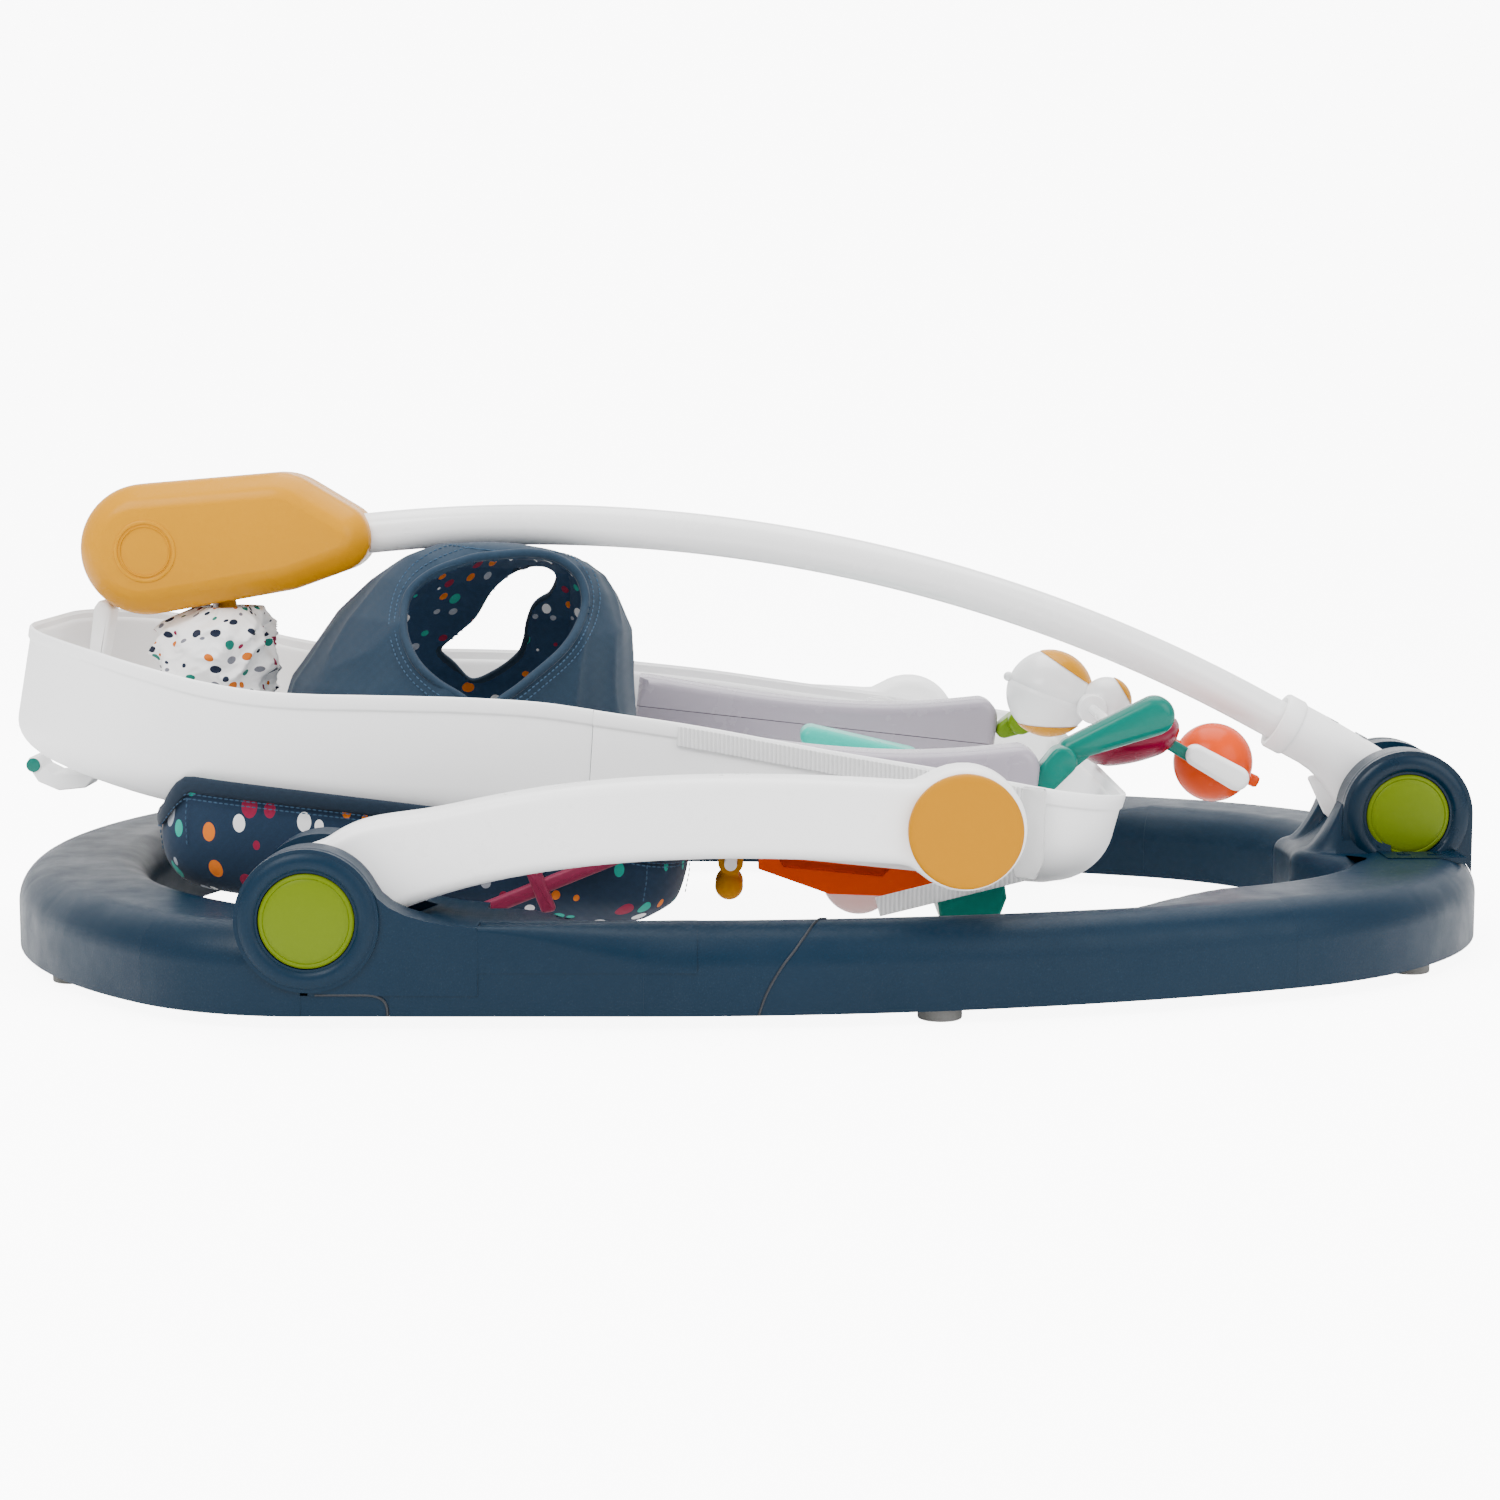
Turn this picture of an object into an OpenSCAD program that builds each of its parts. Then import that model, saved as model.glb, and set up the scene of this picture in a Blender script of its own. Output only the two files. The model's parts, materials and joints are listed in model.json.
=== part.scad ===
// Folding baby jumper, folded flat: egg-shaped base ring, rear arm with a spring housing,
// front legs, and an upside-down activity tray with a fabric seat. Millimetres, +Z up,
// +X towards the rear hinge, -Y the near side; origin under the middle of the base.

/* [Base ring] */
// Length of the ring from front end to rear end
ring_length = 968; // [940:2:1000]
// Half of the ring's widest width
ring_half_width = 324; // [312:1:340]
// Outer radius of the front end
ring_front_r = 380; // [365:1:395]
// Outer radius of the two front corners
ring_corner_r = 150; // [140:1:165]
// Outer radius of the long side bows
ring_side_r = 959; // [930:1:990]
// Where the straight side turns into the bow
ring_side_x = -60; // [-80:1:-40]
// Width of the ring's section
ring_w = 86; // [78:1:92]
// Height of the ring's section
ring_h = 51; // [48:1:56]
// Radius of the section's top edges
ring_edge_r = 24; // [18:0.5:24.5]
// Wall of the moulded ring
ring_wall = 4; // [3:0.5:5]
// Middle of the slanted seam between side and rear pieces
seam_rear_x = 18; // [0:1:40]
// Slant of that seam
seam_slant = 20; // [5:1:30]
// Where the front piece's lower lip ends
seam_front_x = -204; // [-206:1:-190]
// Height of the front piece's lip under the hub
lip_h = 12; // [9:0.5:13]
// Height of a rubber foot
foot_h = 8; // [6:0.5:11]
// Radius of a rubber foot
foot_r = 13; // [10:0.5:15]
// Foot centre in from the ring's outer edge
foot_inset = 19; // [18:0.5:30]

/* [Front hubs and legs] */
// Front hinge along X
hub_x = -250; // [-252:1:-246]
// Front hinge height
hub_z = 63; // [62:1:66]
// Radius of a hub
hub_r = 41; // [40:0.5:43]
// Length of the fairing from the hub's middle down to the ring's top
hub_fair_l = 96; // [88:1:110]
// Fairing in from the hub's end faces
hub_fair_in = 1.5; // [1:0.25:3]
// How far a hub stands out past the ring's side
hub_proud = 2; // [1:0.5:4]
// Thickness of a hub's outer cheek
hub_cheek = 25.5; // [24:0.5:28]
// Thickness of a leg
leg_t = 34; // [30:0.5:36]
// Width of a leg
leg_w = 47; // [42:0.5:50]
// Hinge to tray pivot
leg_length = 376; // [368:1:384]
// Lie of the folded leg above level
leg_angle = 7.3; // [7:0.1:8]
// Rise of the leg's bow
leg_bow = 59; // [50:1:64]
// Radius of the leg's eye in the hub
leg_eye_r = 29; // [26:0.5:31]
// Radius of the leg's end round the tray pivot
leg_end_r = 36; // [34:0.5:38]
// Wall of the moulded leg
leg_wall = 4; // [3:0.5:5]
// Radius of the hinge pins
pin_r = 8; // [7:0.25:9]
// Radius of the yellow pivot cap
cap_r = 33; // [31:0.5:33.5]
// How far the pivot cap stands out from the leg
cap_t = 9; // [8:0.5:11]

/* [Push buttons] */
// Radius of a button
button_r = 27.4; // [26:0.2:28.4]
// Depth of a button's rim
button_t = 11; // [10:0.5:12]
// Height of the button's crown
button_crown = 2.5; // [1.5:0.5:3.5]
// Travel of a button
button_travel = 4.5; // [3.5:0.5:5]

/* [Rear bracket and arm] */
// Rear hinge along X
arm_x = 436; // [432:1:438]
// Rear hinge height
arm_z = 83; // [82:1:88]
// Radius of a bracket cheek
bracket_r = 43; // [41:0.5:45]
// Half the bracket's width over its cheeks
bracket_half_w = 42; // [40:0.5:46]
// Half the width of the slot for the arm socket
bracket_slot = 16; // [15:0.5:18]
// How far the bracket reaches down over the ring's round edges
bracket_skirt = 18; // [14:0.5:20]
// Half the length of the bracket's flange along the ring
bracket_flange = 74; // [70:1:80]
// Outer diameter of the arm tube
tube_d = 27; // [25:0.5:28]
// Wall of the arm tube
tube_wall = 1.5; // [1.2:0.1:2.5]
// Fall of the tube's straight end towards the hinge
tube_slope = 28.3; // [28:0.1:28.6]
// Tube axis above the hinge axis
tube_lift = 14; // [13:0.5:15]
// Straight end of the tube, hinge to start of the bow
tube_straight = 118; // [114:1:122]
// Radius of the tube's long bow
tube_bow_r = 1025; // [1015:1:1035]
// Angle of the tube's bow
tube_bow = 36.9; // [36.6:0.1:37.2]
// Outer radius of the arm socket
socket_r = 19.5; // [18.5:0.25:21]
// Where the socket's mouth lies, from the hinge
socket_mouth = 100; // [94:1:104]
// Radius of the socket's eye
socket_eye_r = 30; // [27:0.5:32]

/* [Spring housing] */
// Centre of the housing's round end, along X and Z
housing_end = [-396, 257];
// Radius of the housing's round end
housing_end_r = 42; // [40:0.5:44]
// Centre of the housing's shoulder
housing_mid = [-310, 268];
// Radius of the shoulder
housing_mid_r = 38; // [36:0.5:40]
// Housing's nose along the tube, in from the tube's end
nose_back = 26; // [22:1:30]
// Radius of the nose
housing_nose_r = 20; // [19:0.5:22]
// Half of the housing's width
housing_half_w = 36; // [34:0.5:38]
// Wall of the housing
housing_wall = 3; // [2.5:0.5:3.5]
// Outer radius of the jump spring, inside the tube's end
spring_r = 10; // [9:0.25:10.5]
// Wire radius of the jump spring
spring_wire = 1.5; // [1.2:0.1:1.7]
// Turns of the jump spring
spring_turns = 12; // [9:1:14]
// Length of the jump spring at rest
spring_length = 70; // [64:1:76]
// Radius of the strap roller
roller_r = 11; // [9:0.5:12]
// Width of the suspension strap
strap_w = 24; // [20:1:26]
// Thickness of the suspension strap
strap_t = 2; // [1.6:0.1:2.4]
// Length of the crumpled spring sleeve below the housing
sleeve_h = 60; // [54:1:64]
// Mean radius of the crumpled sleeve
sleeve_r = 35; // [32:0.5:37]

/* [Tray] */
// Tilt of the folded tray, front end down
tray_tilt = 6.3; // [6:0.1:6.6]
// Half of the tray's width at its front end
tray_half_w = 238; // [234:1:241]
// Half of the tray's width round the seat
tray_seat_w = 174; // [172:1:176]
// Half of the tray's width at the seam between its shells
tray_seam_w = 182; // [180:0.5:184]
// Tray pivot to the rear end
tray_rear = 603; // [600:1:606]
// Tray pivot to the front end
tray_front = 105; // [100:1:110]
// Deck below the pivot
tray_deck = 41.5; // [40:0.5:43]
// Fall of the deck towards the seat, on top of the tray's tilt
deck_fall = 2.4; // [2:0.1:2.8]
// Wall of the tray
tray_wall = 3; // [2.5:0.25:4]
// Rounding from wall to deck
tray_round = 30; // [24:1:34]
// Seam between rear and front shells
tray_seam = -220; // [-230:1:-212]
// Radius of a pivot boss on the tray
boss_r = 18; // [16:0.5:20]

/* [Seat] */
// Seat centre behind the tray pivot
seat_u = -323; // [-327:1:-319]
// Radius of the seat opening in the deck
seat_hole_r = 142; // [138:0.5:145]
// Inner radius of the seat ring
seat_ring_r = 124; // [120:0.5:126]
// Height of the fabric seat over the deck
sling_h = 168; // [160:1:169]
// Lean of the fabric seat's crown towards the front
sling_lean = 31; // [26:1:34]
// Thickness of the padded fabric
sling_t = 5; // [4:0.5:6]
// Radius of the leg openings
leg_hole_r = 50; // [46:0.5:53]
// Height of the padded collar
collar_h = 57; // [52:1:60]
// Half length of the padded collar, along the tray
collar_half_l = 167; // [160:1:169]
// Half width of the padded collar, across the tray
collar_half_w = 186; // [185:0.5:189]
// How far the collar's outer lip stands up the tray's wall
collar_lip = 26; // [18:1:28]

/* [Toys] */
// Half the spacing of the two grey rails
rail_y = 150; // [144:1:156]
// Width of a rail
rail_w = 36; // [32:0.5:38]
// Parting height of the rails over the pivot
rail_part = 5; // [2:0.5:8]
// Radius of the rail's round top edges
rail_edge_r = 8; // [5:0.5:9]
// Toy rod ahead of the tray pivot and above it
rod_at = [107, 48];
// Radius of the toy rod
rod_r = 3.5; // [3:0.25:4]
// Radius of the white figure's round body
figure_r = 30; // [28:0.5:31]
// Radius of the magenta disc
disc_r = 33; // [30:0.5:34]
// Thickness of the magenta disc
disc_t = 15; // [12:0.5:16]
// Radius of the orange spinner ball
ball_r = 26; // [24:0.5:26.5]
// Centre of the spinner ball, ahead of the pivot and above it
ball_at = [181, 28];
// Side position of the spinner ball
ball_y = -42; // [-44:0.5:-41.5]
// Width of the storage strap
storage_w = 12; // [10:0.5:13]
// Thickness of the storage strap
storage_t = 2.5; // [2:0.1:3]
// Radius of the clear dome under the deck
dome_r = 24; // [22:0.5:25]

/* [Fits] */
// Radial running clearance of a turning shaft
run_gap = 0.05; // [0.02:0.01:0.09]
// Clearance between pieces that move past each other
move_gap = 0.5; // [0.35:0.05:0.8]
// Clearance between a seated piece and its round seat
seat_gap = 0.2; // [0.1:0.05:0.3]
// Clearance round a sliding button
slide_gap = 0.35; // [0.3:0.05:0.5]

/* [Hidden] */
$fn = 64;
eps = 0.01;
tube_step = 0.05;
rib_t = 4;
rib_inset = 0.6;
bend_gap = 0.06;
foot_post_r = 9;

ring_z = foot_h;
ring_top = foot_h + ring_h;
front_c = -ring_length / 2 + ring_front_r;
corner_y = ring_half_width - ring_corner_r;
corner_x = front_c - sqrt(pow(ring_front_r - ring_corner_r, 2) - corner_y * corner_y);
front_a = atan2(corner_y, front_c - corner_x);
side_c = ring_side_r - ring_half_width;
rear_run = ring_length / 2 - ring_side_x;
rear_r = (pow(ring_side_r, 2) - pow(rear_run, 2) - pow(side_c, 2)) / (2 * (ring_side_r - rear_run));
rear_c = ring_length / 2 - rear_r;
rear_a = atan2(side_c, rear_c - ring_side_x);
front_trim = bend_gap / ring_front_r * 180 / PI;
rear_trim = bend_gap / rear_r * 180 / PI;

hub_out = ring_half_width + hub_proud;
hub_in = ring_half_width - ring_w;
leg_out = hub_out - hub_cheek - move_gap;
leg_in = leg_out - leg_t;
lip_z = ring_z + lip_h;
pivot_x = hub_x + leg_length * cos(leg_angle);
pivot_z = hub_z + leg_length * sin(leg_angle);
button_depth = button_t + button_travel + 1;

tube_end_rise = tube_bow - tube_slope;
spring_span = spring_length / tube_bow_r * 180 / PI;
spring_root = arm_point(tube_bow - spring_span * 1.04);
spring_rise = tube_end_rise - spring_span / 2;
tube_end = arm_point(tube_bow);
housing_nose = arm_point(tube_bow - nose_back / tube_bow_r * 180 / PI);
roller_at = [housing_mid[0] - 35, tube_end[1] - roller_r - move_gap - strap_t / 2];
strap_exit_x = roller_at[0] - roller_r - move_gap - strap_t / 2;
sleeve_top = 214;

rim_line = [[-640, 36], [-578, 35.5], [-536, 33], [-498, 28], [-468, 23.6], [-434, 21.4], [-400, 22.6],
            [-352, 27], [-299, 31.6], [-256, 33.7], [-217, 32.6], [-157, 31.4], [-78, 27.4], [-7, 25],
            [60, 21.5], [130, 19]];
wall_levels = [[0, 1], [0.1, 0.56], [0.35, 0.24], [0.8, 0.03], [1, 0]];
front_root = [-260, tray_seam_w - 55];
front_corner = [tray_front - 45, tray_half_w - 45];
wall_a = atan2(front_corner[1] - front_root[1], front_corner[0] - front_root[0]);
boss_in = tray_half_w - 24;
wall_lean = 0.75;
sling_form = [[0, 1], [0.2, 0.985], [0.43, 0.935], [0.59, 0.855], [0.71, 0.785], [0.84, 0.66],
              [0.92, 0.555], [0.97, 0.43], [1, 0.24]];
sling_shift = [[0, 0], [0.43, 0.2], [0.59, 0.42], [0.84, 0.75], [1, 1]];
rail_top = [[-207, 27], [-150, 23.5], [-90, 22], [-40, 24], [0, 29], [40, 37]];

// Turn a flat side profile (X, Z) into a slab between two Y planes
module along_y(y0, y1)
    translate([0, y1, 0]) rotate([90, 0, 0]) linear_extrude(height = y1 - y0) children();

// Round bar along Y at a point of the side view
module rod_y(at, r, y0, y1)
    translate([at[0], y1, at[1]]) rotate([90, 0, 0]) cylinder(r = r, h = y1 - y0);

// Copy to the other side of the middle plane
module far_side() mirror([0, 1, 0]) children();

// Place in the tray's own frame: pivot at the origin, deck level
module in_tray() translate([pivot_x, 0, pivot_z]) rotate([0, tray_tilt, 0]) children();

// Inside the tray's frame: deck's outer face at zero, following its fall
module on_deck() translate([0, 0, -tray_deck]) rotate([0, -deck_fall, 0]) children();
function deck_w(u) = -tray_deck + u * tan(deck_fall);

// Inside the tray's frame: the near wall of the front shell, X along it and -Y outwards
module on_wall() translate([0, -wall_y(0), 0]) rotate([0, 0, -wall_a]) children();
function wall_y(u) = front_root[1] + 45 / cos(wall_a) + (u - front_root[0]) * tan(wall_a);

// Place in a folded leg's own frame: hinge at the origin, tray pivot along X
module in_leg() translate([hub_x, 0, hub_z]) rotate([0, -leg_angle, 0]) children();

// Place along the arm's straight end: hinge at the origin, X up the tube
module in_arm() translate([arm_x, 0, arm_z]) rotate([0, 180 + tube_slope, 0]) mirror([0, 0, 1]) children();

// Point (X, Z) on the tube's axis, a given angle into its bow
function arm_point(a) =
    let (u = tube_straight + tube_bow_r * sin(a), v = tube_lift - tube_bow_r * (1 - cos(a)))
    [arm_x - u * cos(tube_slope) + v * sin(tube_slope), arm_z + u * sin(tube_slope) + v * cos(tube_slope)];

// Smooth curve through a list of points, n steps a span
function spline(p, n) = [
    for (i = [0 : len(p) - 2], k = [0 : n - 1])
        let (t = k / n, a = p[max(i - 1, 0)], b = p[i], c = p[i + 1], d = p[min(i + 2, len(p) - 1)])
        0.5 * (2 * b + (c - a) * t + (2 * a - 5 * b + 4 * c - d) * t * t
            + (3 * b - a - 3 * c + d) * t * t * t),
    p[len(p) - 1]
];

// Closed skin over rings of points: rings run one way, ends are capped
module skin(rings) {
    m = len(rings[0]);
    last = len(rings) - 1;
    polyhedron(
        points = [for (r = rings, p = r) p],
        faces = concat(
            [[for (j = [0 : m - 1]) j]],
            [for (i = [0 : last - 1], j = [0 : m - 1])
                let (a = i * m + j, b = i * m + (j + 1) % m)
                each [[a, a + m, b], [b, a + m, b + m]]],
            [[for (j = [m - 1 : -1 : 0]) last * m + j]]
        )
    );
}

// Closed ring-shaped skin: the last ring joins the first
module loop_skin(rings) {
    m = len(rings[0]);
    n = len(rings);
    polyhedron(
        points = [for (r = rings, p = r) p],
        faces = [for (i = [0 : n - 1], j = [0 : m - 1])
            let (a = i * m + j, b = i * m + (j + 1) % m,
                c = ((i + 1) % n) * m + j, d = ((i + 1) % n) * m + (j + 1) % m)
            each [[a, c, b], [b, c, d]]]
    );
}

// Coil spring standing along Z
module coil(r, wire, turns, height, steps, sides) {
    n = turns * steps;
    skin([for (i = [0 : n])
        let (t = 360 * i / steps, z = wire + (height - 2 * wire) * i / n)
        [for (j = [0 : sides - 1])
            let (q = r - wire + wire * cos(360 * j / sides))
            [q * cos(t), q * sin(t), z + wire * sin(360 * j / sides)]]]);
}

// Outline of the ring's section, outer edge at x = 0
module ring_outline(inset) {
    r = ring_edge_r - inset;
    w = ring_w - 2 * inset;
    h = ring_h - inset;
    translate([-ring_w + inset, ring_z]) {
        square([w, h - r]);
        translate([r, 0]) square([w - 2 * r, h]);
        translate([r, h - r]) circle(r);
        translate([w - r, h - r]) circle(r);
    }
}

// Channel section of the ring, open below
module ring_section()
    difference() {
        ring_outline(0);
        translate([0, -eps]) ring_outline(ring_wall);
    }

module ring_bend(at, r, a0, a1)
    translate([at[0], at[1], 0]) rotate([0, 0, a0])
        rotate_extrude(angle = a1 - a0, $fn = 120) translate([r, 0]) ring_section();

// Rib across the ring that joins two bends at an angle
module ring_rib(at, r, a)
    translate([at[0], at[1], 0.5]) rotate([0, 0, a]) translate([r, 0, 0]) rotate([90, 0, 0])
        linear_extrude(height = rib_t, center = true) ring_outline(rib_inset);

module ring_run(x0, x1)
    translate([x0, ring_half_width, 0]) rotate([90, 0, 90])
        linear_extrude(height = x1 - x0) ring_section();

module side_half(x0) {
    ring_run(x0, ring_side_x - bend_gap);
    side_bow();
    ring_rib([ring_side_x, -side_c], ring_side_r, 90);
}

module side_bow() ring_bend([ring_side_x, -side_c], ring_side_r, rear_a, 90);

// Everything to the rear of the slanted seam on the far side
module behind_seam()
    translate([seam_rear_x, ring_half_width - ring_w / 2, -1]) rotate([0, 0, seam_slant])
        translate([0, -3 * ring_w, 0]) cube([ring_length, 6 * ring_w, 2 * ring_top]);

function foot_places() = [
    for (s = [-1, 1]) each [
        [front_c - (ring_front_r - foot_inset) * cos(30), s * (ring_front_r - foot_inset) * sin(30)],
        [ring_side_x + (ring_side_r - foot_inset) * sin(10.4),
            s * ((ring_side_r - foot_inset) * cos(10.4) - side_c)],
        [rear_c + (rear_r - foot_inset) * cos(38), s * (rear_r - foot_inset) * sin(38)]
    ]
];

// Solid post inside the ring that takes a foot's stem
module foot_post(p) translate([p[0], p[1], ring_z]) cylinder(r = foot_post_r, h = ring_h - 6);

module foot_stem(p, r) translate([p[0], p[1], ring_z - eps]) cylinder(r = r, h = 10);

// Hub round the front hinge on the far side, with its slot, bores and button well
module hub() {
    rod_y([hub_x, hub_z], hub_r, hub_in, hub_out);
    along_y(hub_in + hub_fair_in, hub_out - hub_fair_in) translate([hub_x, hub_z])
        polygon([[0, lip_z - hub_z], [hub_fair_l, lip_z - hub_z], [hub_fair_l, ring_top - hub_z - 1],
            for (i = [0 : 6]) hub_fair_at(1 - i / 6), [0, hub_r - 12]]);
}

// Point on the fairing's hollow back, from the hub's side down to the ring's top
function hub_fair_at(t) = let (a = [hub_r * cos(28), hub_r * sin(28)], b = [hub_r + 3, ring_top - hub_z + 3],
    c = [hub_fair_l, ring_top - hub_z]) (1 - t) * (1 - t) * a + 2 * t * (1 - t) * b + t * t * c;

module hub_cuts() {
    rod_y([hub_x, hub_z], leg_eye_r + 1.5, leg_in - move_gap, leg_out + move_gap);
    along_y(leg_in - move_gap, leg_out + move_gap)
        translate([hub_x, hub_z]) polygon([[-20, 0], [0, -26], [75, 2], [90, 90], [-55, 90]]);
    rod_y([hub_x, hub_z], pin_r, hub_in + 6, hub_out - button_depth + eps);
    rod_y([hub_x, hub_z], button_r + slide_gap, hub_out - button_depth, hub_out + 1);
}

module base_front()
    color([0.21, 0.29, 0.37]) difference() {
        union() {
            ring_bend([front_c, 0], ring_front_r, 180 - front_a + front_trim, 180 + front_a - front_trim);
            for (m = [0, 1]) mirror([0, m, 0]) {
                ring_bend([corner_x, corner_y], ring_corner_r, 90, 180 - front_a);
                ring_rib([corner_x, corner_y], ring_corner_r, 180 - front_a);
                translate([corner_x - 6, hub_in + 0.3, ring_z])
                    cube([seam_front_x - corner_x + 6, ring_w - 0.6, lip_h]);
            }
            foot_post(foot_places()[0]);
            foot_post(foot_places()[3]);
        }
        for (m = [0, 1]) mirror([0, m, 0]) rod_y([hub_x, hub_z], hub_r, hub_in - 5, hub_out + 5);
        foot_stem(foot_places()[0], 5);
        foot_stem(foot_places()[3], 5);
    }

module base_side_far()
    color([0.21, 0.29, 0.37]) difference() {
        union() {
            side_half(hub_x + hub_r - 22);
            hub();
        }
        behind_seam();
        translate([hub_x - hub_r - 2, hub_in - 1, 0])
            cube([seam_front_x - hub_x + hub_r + 2, ring_w + 5, lip_z]);
        hub_cuts();
    }

module base_side_near() far_side() base_side_far();

module base_rear()
    color([0.21, 0.29, 0.37]) difference() {
        union() {
            ring_bend([rear_c, 0], rear_r, -rear_a + rear_trim, rear_a - rear_trim);
            for (m = [0, 1]) mirror([0, m, 0]) {
                ring_rib([rear_c, 0], rear_r, rear_a);
                intersection() {
                    side_bow();
                    behind_seam();
                }
            }
            for (i = [1, 2, 4, 5]) foot_post(foot_places()[i]);
        }
        for (i = [1, 2, 4, 5]) foot_stem(foot_places()[i], 5);
        for (p = bracket_screw_places()) translate([p[0], p[1], ring_top - 20]) cylinder(r = 2.5, h = 30);
        rod_y([arm_x, arm_z], socket_eye_r + 4, -bracket_slot, bracket_slot);
        for (s = [0, 1]) mirror([0, s, 0]) rear_well();
    }

// Well of a rear button, open to the far side
module rear_well()
    rod_y([arm_x, arm_z], button_r + slide_gap, bracket_half_w - button_depth, bracket_half_w + 6);

function bracket_screw_places() =
    [for (s = [-1, 1], x = [rear_c + rear_r - ring_w + 32, rear_c + rear_r - 34]) [x, s * 58]];

// Rear bracket: two round cheeks on a saddle over the ring
module rear_bracket()
    color([0.2, 0.27, 0.35]) difference() {
        union() {
            along_y(-bracket_half_w, bracket_half_w) {
                translate([arm_x, arm_z]) circle(bracket_r);
                polygon([[arm_x - bracket_r - 1, ring_top - bracket_skirt], [arm_x + bracket_r, ring_top - bracket_skirt],
                    [arm_x + bracket_r, arm_z], [arm_x - bracket_r, arm_z]]);
            }
            translate([ring_length / 2 - ring_w + 18, -bracket_flange, ring_top - 3])
                cube([ring_w - 34, 2 * bracket_flange, 9]);
        }
        rod_y([arm_x, arm_z], socket_eye_r + 4, -bracket_slot, bracket_slot);
        along_y(-bracket_slot, bracket_slot) polygon([
            [arm_x - 90, ring_top + 4], [arm_x - 12, ring_top - 12], [arm_x + 34, arm_z],
            [arm_x + 52, arm_z + 90], [arm_x - 90, arm_z + 90]]);
        rod_y([arm_x, arm_z], pin_r, -bracket_half_w, bracket_half_w);
        for (s = [0, 1]) mirror([0, s, 0]) rear_well();
        translate([rear_c, 0, 0]) rotate([0, 0, -60]) rotate_extrude(angle = 120, $fn = 120)
            translate([rear_r, 0]) ring_outline(-seat_gap);
        for (p = bracket_screw_places()) translate([p[0], p[1], 0]) cylinder(r = 2.5, h = 200);
    }

module rear_pin()
    color([0.7, 0.7, 0.72])
        rod_y([arm_x, arm_z], pin_r, -bracket_half_w + button_depth, bracket_half_w - button_depth);

module hub_pins()
    color([0.7, 0.7, 0.72]) for (s = [0, 1]) mirror([0, s, 0])
        rod_y([hub_x, hub_z], pin_r, hub_in + 6, hub_out - button_depth);

module rubber_feet()
    color([0.55, 0.55, 0.55]) for (p = foot_places()) translate([p[0], p[1], 0]) {
        cylinder(r = foot_r, h = foot_h);
        cylinder(r = 5, h = foot_h + 9);
    }

module bracket_screws()
    color([0.7, 0.7, 0.72]) for (p = bracket_screw_places())
        translate([p[0], p[1], ring_top]) {
            translate([0, 0, -14]) cylinder(r = 2.5, h = 20);
            translate([0, 0, 6]) cylinder(r = 4.5, h = 2.5);
        }

// Button cup facing +Y with its crown, rim at y = 0 and hollow behind
module button()
    rotate([-90, 0, 0]) difference() {
        union() {
            translate([0, 0, -button_t]) cylinder(r = button_r, h = button_t - 1.5);
            translate([0, 0, -1.5 - eps]) cylinder(r = button_r - 1.5, h = 1.5 + eps);
            intersection() {
                translate([0, 0, -1]) cylinder(r = button_r - 1.5, h = 20);
                translate([0, 0, button_crown - crown_r()]) sphere(r = crown_r(), $fn = 160);
            }
        }
        translate([0, 0, -button_t - 1]) cylinder(r = button_r - 6, h = button_t - 2);
    }

function crown_r() = (pow(button_r - 1.5, 2) + pow(button_crown, 2)) / (2 * button_crown);

module front_button_far()
    color([0.61, 0.65, 0.15]) translate([hub_x, hub_out, hub_z]) button();

module front_button_near() far_side() front_button_far();

module rear_button_far()
    color([0.61, 0.65, 0.15]) translate([arm_x, bracket_half_w, arm_z]) button();

module rear_button_near() far_side() rear_button_far();

// Return springs behind the buttons, drawn at their pressed length
module button_springs()
    color([0.7, 0.7, 0.72]) for (s = [0, 1]) mirror([0, s, 0]) {
        translate([hub_x, hub_out - button_depth, hub_z]) rotate([-90, 0, 0])
            coil(15, 0.8, 3, button_t - 4, 14, 5);
        translate([arm_x, bracket_half_w - button_depth, arm_z]) rotate([-90, 0, 0])
            coil(15, 0.8, 3, button_t - 4, 14, 5);
    }

// Middle line of the leg in its own frame, and its outline at a given half width
function leg_mid(t) = [2 * t * (1 - t) * 0.288 * leg_length + t * t * leg_length, 2 * t * (1 - t) * leg_bow];
function leg_dir(t) = let (d = leg_mid(t + 0.01) - leg_mid(t - 0.01)) d / norm(d);
function leg_edge(t, w) = let (d = leg_dir(t), m = leg_mid(t)) [m[0] - d[1] * w, m[1] + d[0] * w];

module leg_band(t0, t1, half_w)
    polygon([
        for (i = [0 : 20]) leg_edge(t0 + (t1 - t0) * i / 20, half_w),
        for (i = [20 : -1 : 0]) leg_edge(t0 + (t1 - t0) * i / 20, -half_w)
    ]);

module leg_far()
    color([0.92, 0.92, 0.92]) in_leg() difference() {
        union() {
            along_y(leg_in, leg_out) leg_band(0.02, 0.98, leg_w / 2);
            rod_y([0, 0], leg_eye_r, leg_in, leg_out);
            rod_y([leg_length, 0], leg_end_r, leg_in, leg_out);
        }
        along_y(leg_in - 1, leg_out - leg_wall) leg_band(0.2, 0.84, leg_w / 2 - leg_wall);
        rod_y([0, 0], pin_r + run_gap, leg_in - 1, leg_out + 1);
        rod_y([leg_length, 0], pin_r + run_gap, leg_in - 1, leg_out + 1);
        rod_y([leg_length, 0], cap_r - 5, leg_out - 4, leg_out + 1);
    }

module leg_near() far_side() leg_far();

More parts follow.
